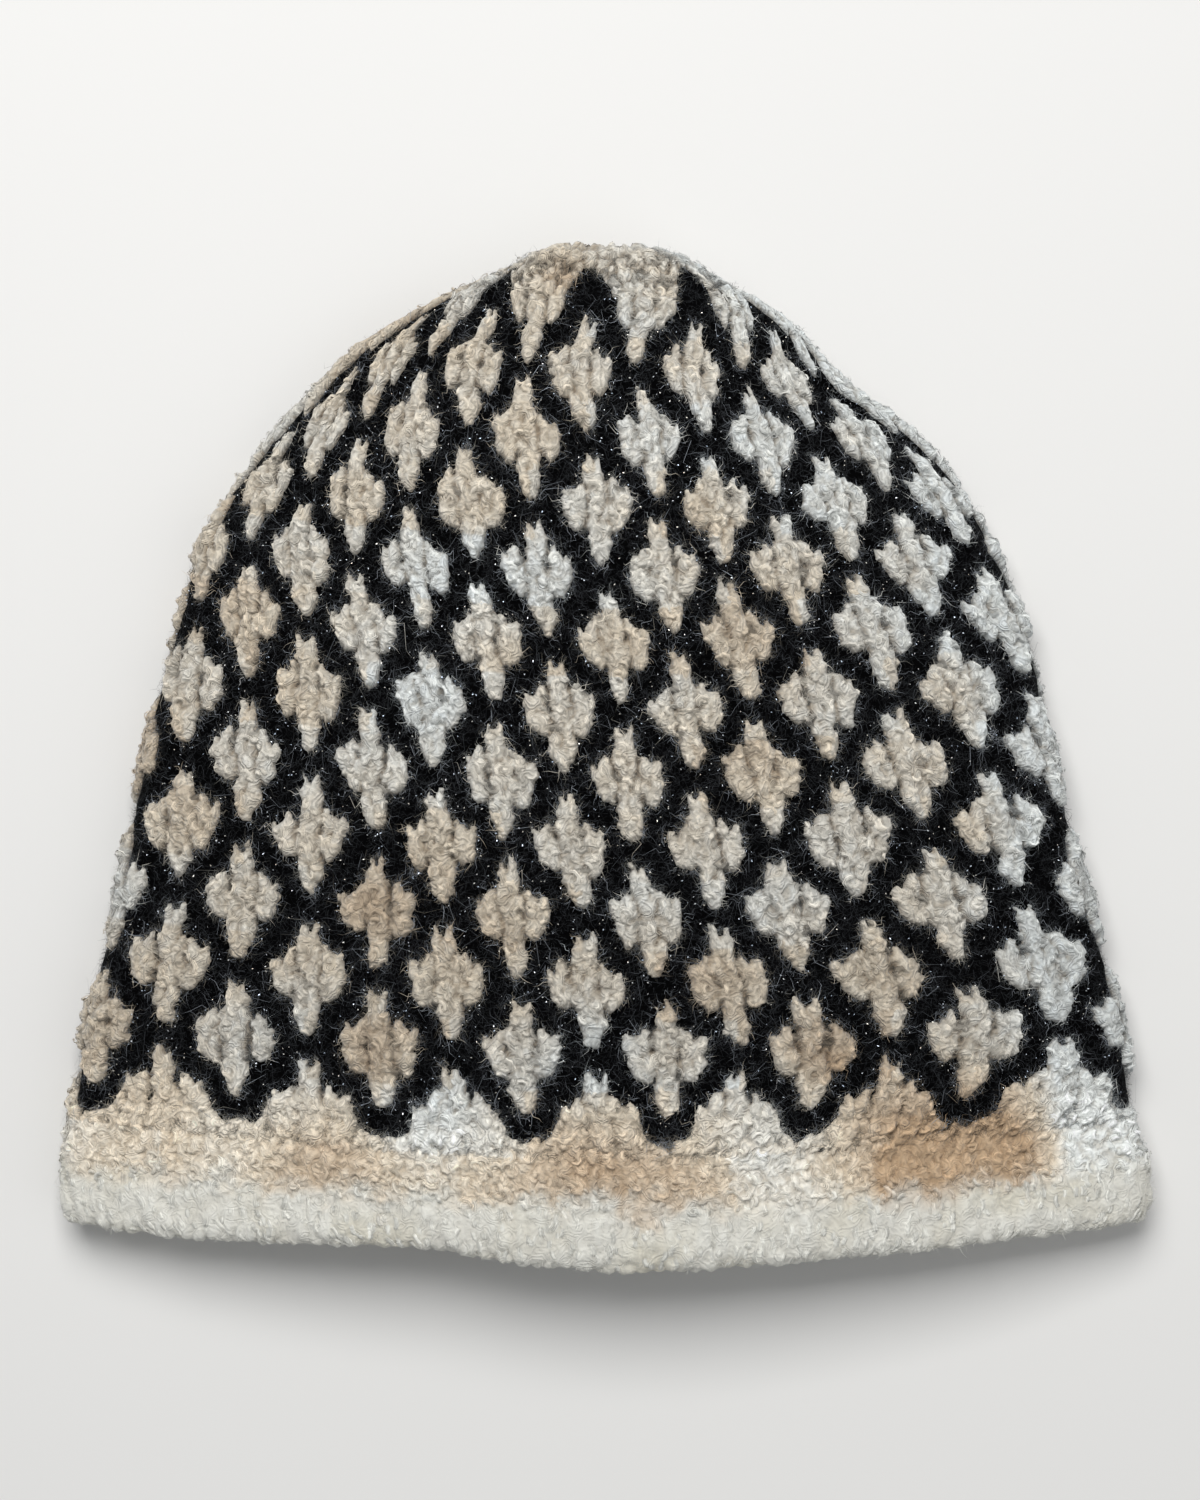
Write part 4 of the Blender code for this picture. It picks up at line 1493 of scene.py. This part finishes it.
class BEANIE_OT_dark_fuzz(bpy.types.Operator):
    """Brushes the dark yarn's fine fibres over the net"""

    bl_idname = "beanie.dark_fuzz"
    bl_label = "Dark Fuzz"
    SEED = 47

    # The dark hair catches more light near the cream yarn, between two lifts of the relief: its tone away
    # from the yarn, and how much is added beside it
    NEAR_EDGE = (-0.0045, -0.0017)
    FAR_TONE = 0.13
    NEAR_TONE = 1.35

    def execute(self, context):
        shell = Shell(context.scene.beanie_sizes)
        fibres = context.scene.beanie_fibres
        random = np.random.default_rng(self.SEED)
        relief = hat_relief(shell)

        def on_net(lift, course):
            return (lift < -0.0008) & (course > FIRST_COURSE - 0.6)

        stitch, course = scattered(relief, random, fibres.dark_fuzz, on_net)
        lift = np.full(len(stitch), -shell.sizes.net_depth)
        _, normal, paths, radii = brushed(
            relief, random, stitch, course, lift, DARK_HAIR, fibres.fuzz_radius
        )
        halo = np.array(context.scene.beanie_colours.halo[:])
        near = smooth_step(*self.NEAR_EDGE, relief.read(stitch, course))
        tone = random.lognormal(-0.1, 0.45, len(stitch)) * (self.FAR_TONE + self.NEAR_TONE * near)
        tint = np.clip(halo * tone[:, None], 0, 0.6)
        material = yarn_material("dark_fibre", 0.7, sheen=0.0, streaks=0.05, bump_height=0.0001, shine=0.1)
        add_hair("dark_fuzz", paths, radii, normal, tint, material, "charcoal_mohair")
        return {"FINISHED"}


class BEANIE_OT_glints(bpy.types.Operator):
    """Scatters short ends of metal thread in the net"""

    bl_idname = "beanie.glints"
    bl_label = "Glints"
    SEED = 53
    LIFT = 0.0006
    SHORTEST = 0.00025
    LONGEST = 0.0006
    THINNEST = 0.00006
    THICKEST = 0.00013

    # The ends lie flatter than they stand
    FLATTER = np.array([1, 1, 0.5])

    def execute(self, context):
        shell = Shell(context.scene.beanie_sizes)
        fibres = context.scene.beanie_fibres
        random = np.random.default_rng(self.SEED)
        relief = hat_relief(shell)

        def on_net(lift, course):
            return (lift < -0.0008) & (course > FIRST_COURSE)

        stitch, course = scattered(relief, random, fibres.glints, on_net)
        lift = random.uniform(-self.LIFT, self.LIFT, len(stitch))
        root, normal = on_relief(relief, stitch, course, lift)
        heading = unit(random.normal(0, 1.0, (len(stitch), 3)) * self.FLATTER)
        reach = random.uniform(self.SHORTEST, self.LONGEST, len(stitch))
        t = np.array([-0.5, 0.0, 0.5])[None, :, None]
        paths = root[:, None, :] + heading[:, None, :] * t * reach[:, None, None]
        radii = np.repeat(random.uniform(self.THINNEST, self.THICKEST, len(stitch))[:, None], 3, axis=1)
        points, faces, _ = strand_mesh(rest_on_floor(paths), radii, normal)
        piece = add_mesh("metal_glints", points, faces)
        piece.data.shade_flat()
        dress(piece, glint_material(tuple(context.scene.beanie_colours.glint)), "charcoal_mohair")
        return {"FINISHED"}


# The stage


def add_light(name, energy, size, place):
    """A square soft light that looks at the origin."""
    lamp = bpy.data.lights.new(name, "AREA")
    lamp.energy = energy
    lamp.shape = "SQUARE"
    lamp.size = size
    holder = bpy.data.objects.new(name, lamp)
    holder.location = place
    x, y, z = place
    holder.rotation_euler = (math.atan2(math.hypot(x, y), z), 0.0, math.atan2(-y, -x) - math.pi / 2)
    bpy.context.scene.collection.objects.link(holder)


class BEANIE_OT_stage(bpy.types.Operator):
    """Sets the camera straight over the hat, the pale floor and the soft lights"""

    bl_idname = "beanie.stage"
    bl_label = "Stage"
    FLOOR_HALF = 4.0
    FLOOR_ROUGHNESS = 0.9
    KEY_PLACE = (-0.15, 0.66, 1.18)
    KEY_SIZE = 0.8
    FILL_PLACE = (0.9, -0.3, 1.1)
    FILL_SIZE = 1.4

    # The height that the hat's outline lies at, which the camera's angle of view is fitted to
    OUTLINE_HEIGHT = 0.012
    SENSOR_MM = 36.0
    NEAREST = 0.01

    def execute(self, context):
        stage = context.scene.beanie_stage
        self.add_camera(context, stage)
        self.add_floor(stage)
        add_light("key_light", stage.key_power, self.KEY_SIZE, self.KEY_PLACE)
        add_light("fill_light", stage.fill_power, self.FILL_SIZE, self.FILL_PLACE)
        world = bpy.data.worlds.new("even_light")
        world.use_nodes = True
        background = world.node_tree.nodes["Background"]
        background.inputs["Color"].default_value = (*stage.sky_colour, 1.0)
        background.inputs["Strength"].default_value = stage.sky_strength
        context.scene.world = world
        context.scene.view_settings.view_transform = "Standard"
        return {"FINISHED"}

    def add_camera(self, context, stage):
        distance = stage.camera_height - self.OUTLINE_HEIGHT
        camera = bpy.data.cameras.new("camera")
        camera.sensor_fit = "HORIZONTAL"
        camera.sensor_width = self.SENSOR_MM
        camera.lens = self.SENSOR_MM * distance / (PHOTO_WIDTH * METRES_PER_PX)
        camera.clip_start = self.NEAREST
        holder = bpy.data.objects.new("camera", camera)
        holder.location = (
            (PHOTO_WIDTH / 2 - HAT_MIDDLE_X_PX) * METRES_PER_PX,
            (HAT_MIDDLE_Y_PX - PHOTO_HEIGHT / 2) * METRES_PER_PX,
            stage.camera_height,
        )
        context.scene.collection.objects.link(holder)
        context.scene.camera = holder

    def add_floor(self, stage):
        half = self.FLOOR_HALF
        corners = np.array([(-half, -half, 0), (half, -half, 0), (half, half, 0), (-half, half, 0)])
        floor = add_mesh("floor", corners, [np.array([[0, 1, 2, 3]])])
        material, _, _, shader = new_material("pale_floor")
        shader.inputs["Base Color"].default_value = (*stage.floor_colour, 1.0)
        shader.inputs["Roughness"].default_value = self.FLOOR_ROUGHNESS
        floor.data.materials.append(material)


OPERATORS = (
    BEANIE_OT_stage,
    BEANIE_OT_net_wall,
    BEANIE_OT_brim_band,
    BEANIE_OT_rolled_hem,
    BEANIE_OT_crown,
    BEANIE_OT_diamonds,
    BEANIE_OT_curls,
    BEANIE_OT_cream_fuzz,
    BEANIE_OT_halo_fuzz,
    BEANIE_OT_dark_fuzz,
    BEANIE_OT_glints,
)


class BEANIE_PT_panel(bpy.types.Panel):
    """Lists the hat's settings and pieces in the 3D view's sidebar"""

    bl_idname = "BEANIE_PT_panel"
    bl_label = "Knitted Beanie"
    bl_space_type = "VIEW_3D"
    bl_region_type = "UI"
    bl_category = "Beanie"

    def draw(self, context):
        scene = context.scene
        for group in (scene.beanie_sizes, scene.beanie_colours, scene.beanie_fibres, scene.beanie_stage):
            box = self.layout.box()
            for name in group.__annotations__:
                box.prop(group, name)
        for operator in OPERATORS:
            self.layout.operator(operator.bl_idname)


GROUPS = {
    "beanie_sizes": BeanieSizes,
    "beanie_colours": BeanieColours,
    "beanie_fibres": BeanieFibres,
    "beanie_stage": BeanieStage,
}


def register():
    for group in GROUPS.values():
        bpy.utils.register_class(group)
    for operator in OPERATORS:
        bpy.utils.register_class(operator)
    bpy.utils.register_class(BEANIE_PT_panel)
    for name, group in GROUPS.items():
        setattr(bpy.types.Scene, name, PointerProperty(type=group))


def unregister():
    for name in GROUPS:
        delattr(bpy.types.Scene, name)
    bpy.utils.unregister_class(BEANIE_PT_panel)
    for operator in reversed(OPERATORS):
        bpy.utils.unregister_class(operator)
    for group in reversed(GROUPS.values()):
        bpy.utils.unregister_class(group)


def main():
    register()
    for operator in OPERATORS:
        group, name = operator.bl_idname.split(".")
        getattr(getattr(bpy.ops, group), name)()


if __name__ == "__main__":
    main()
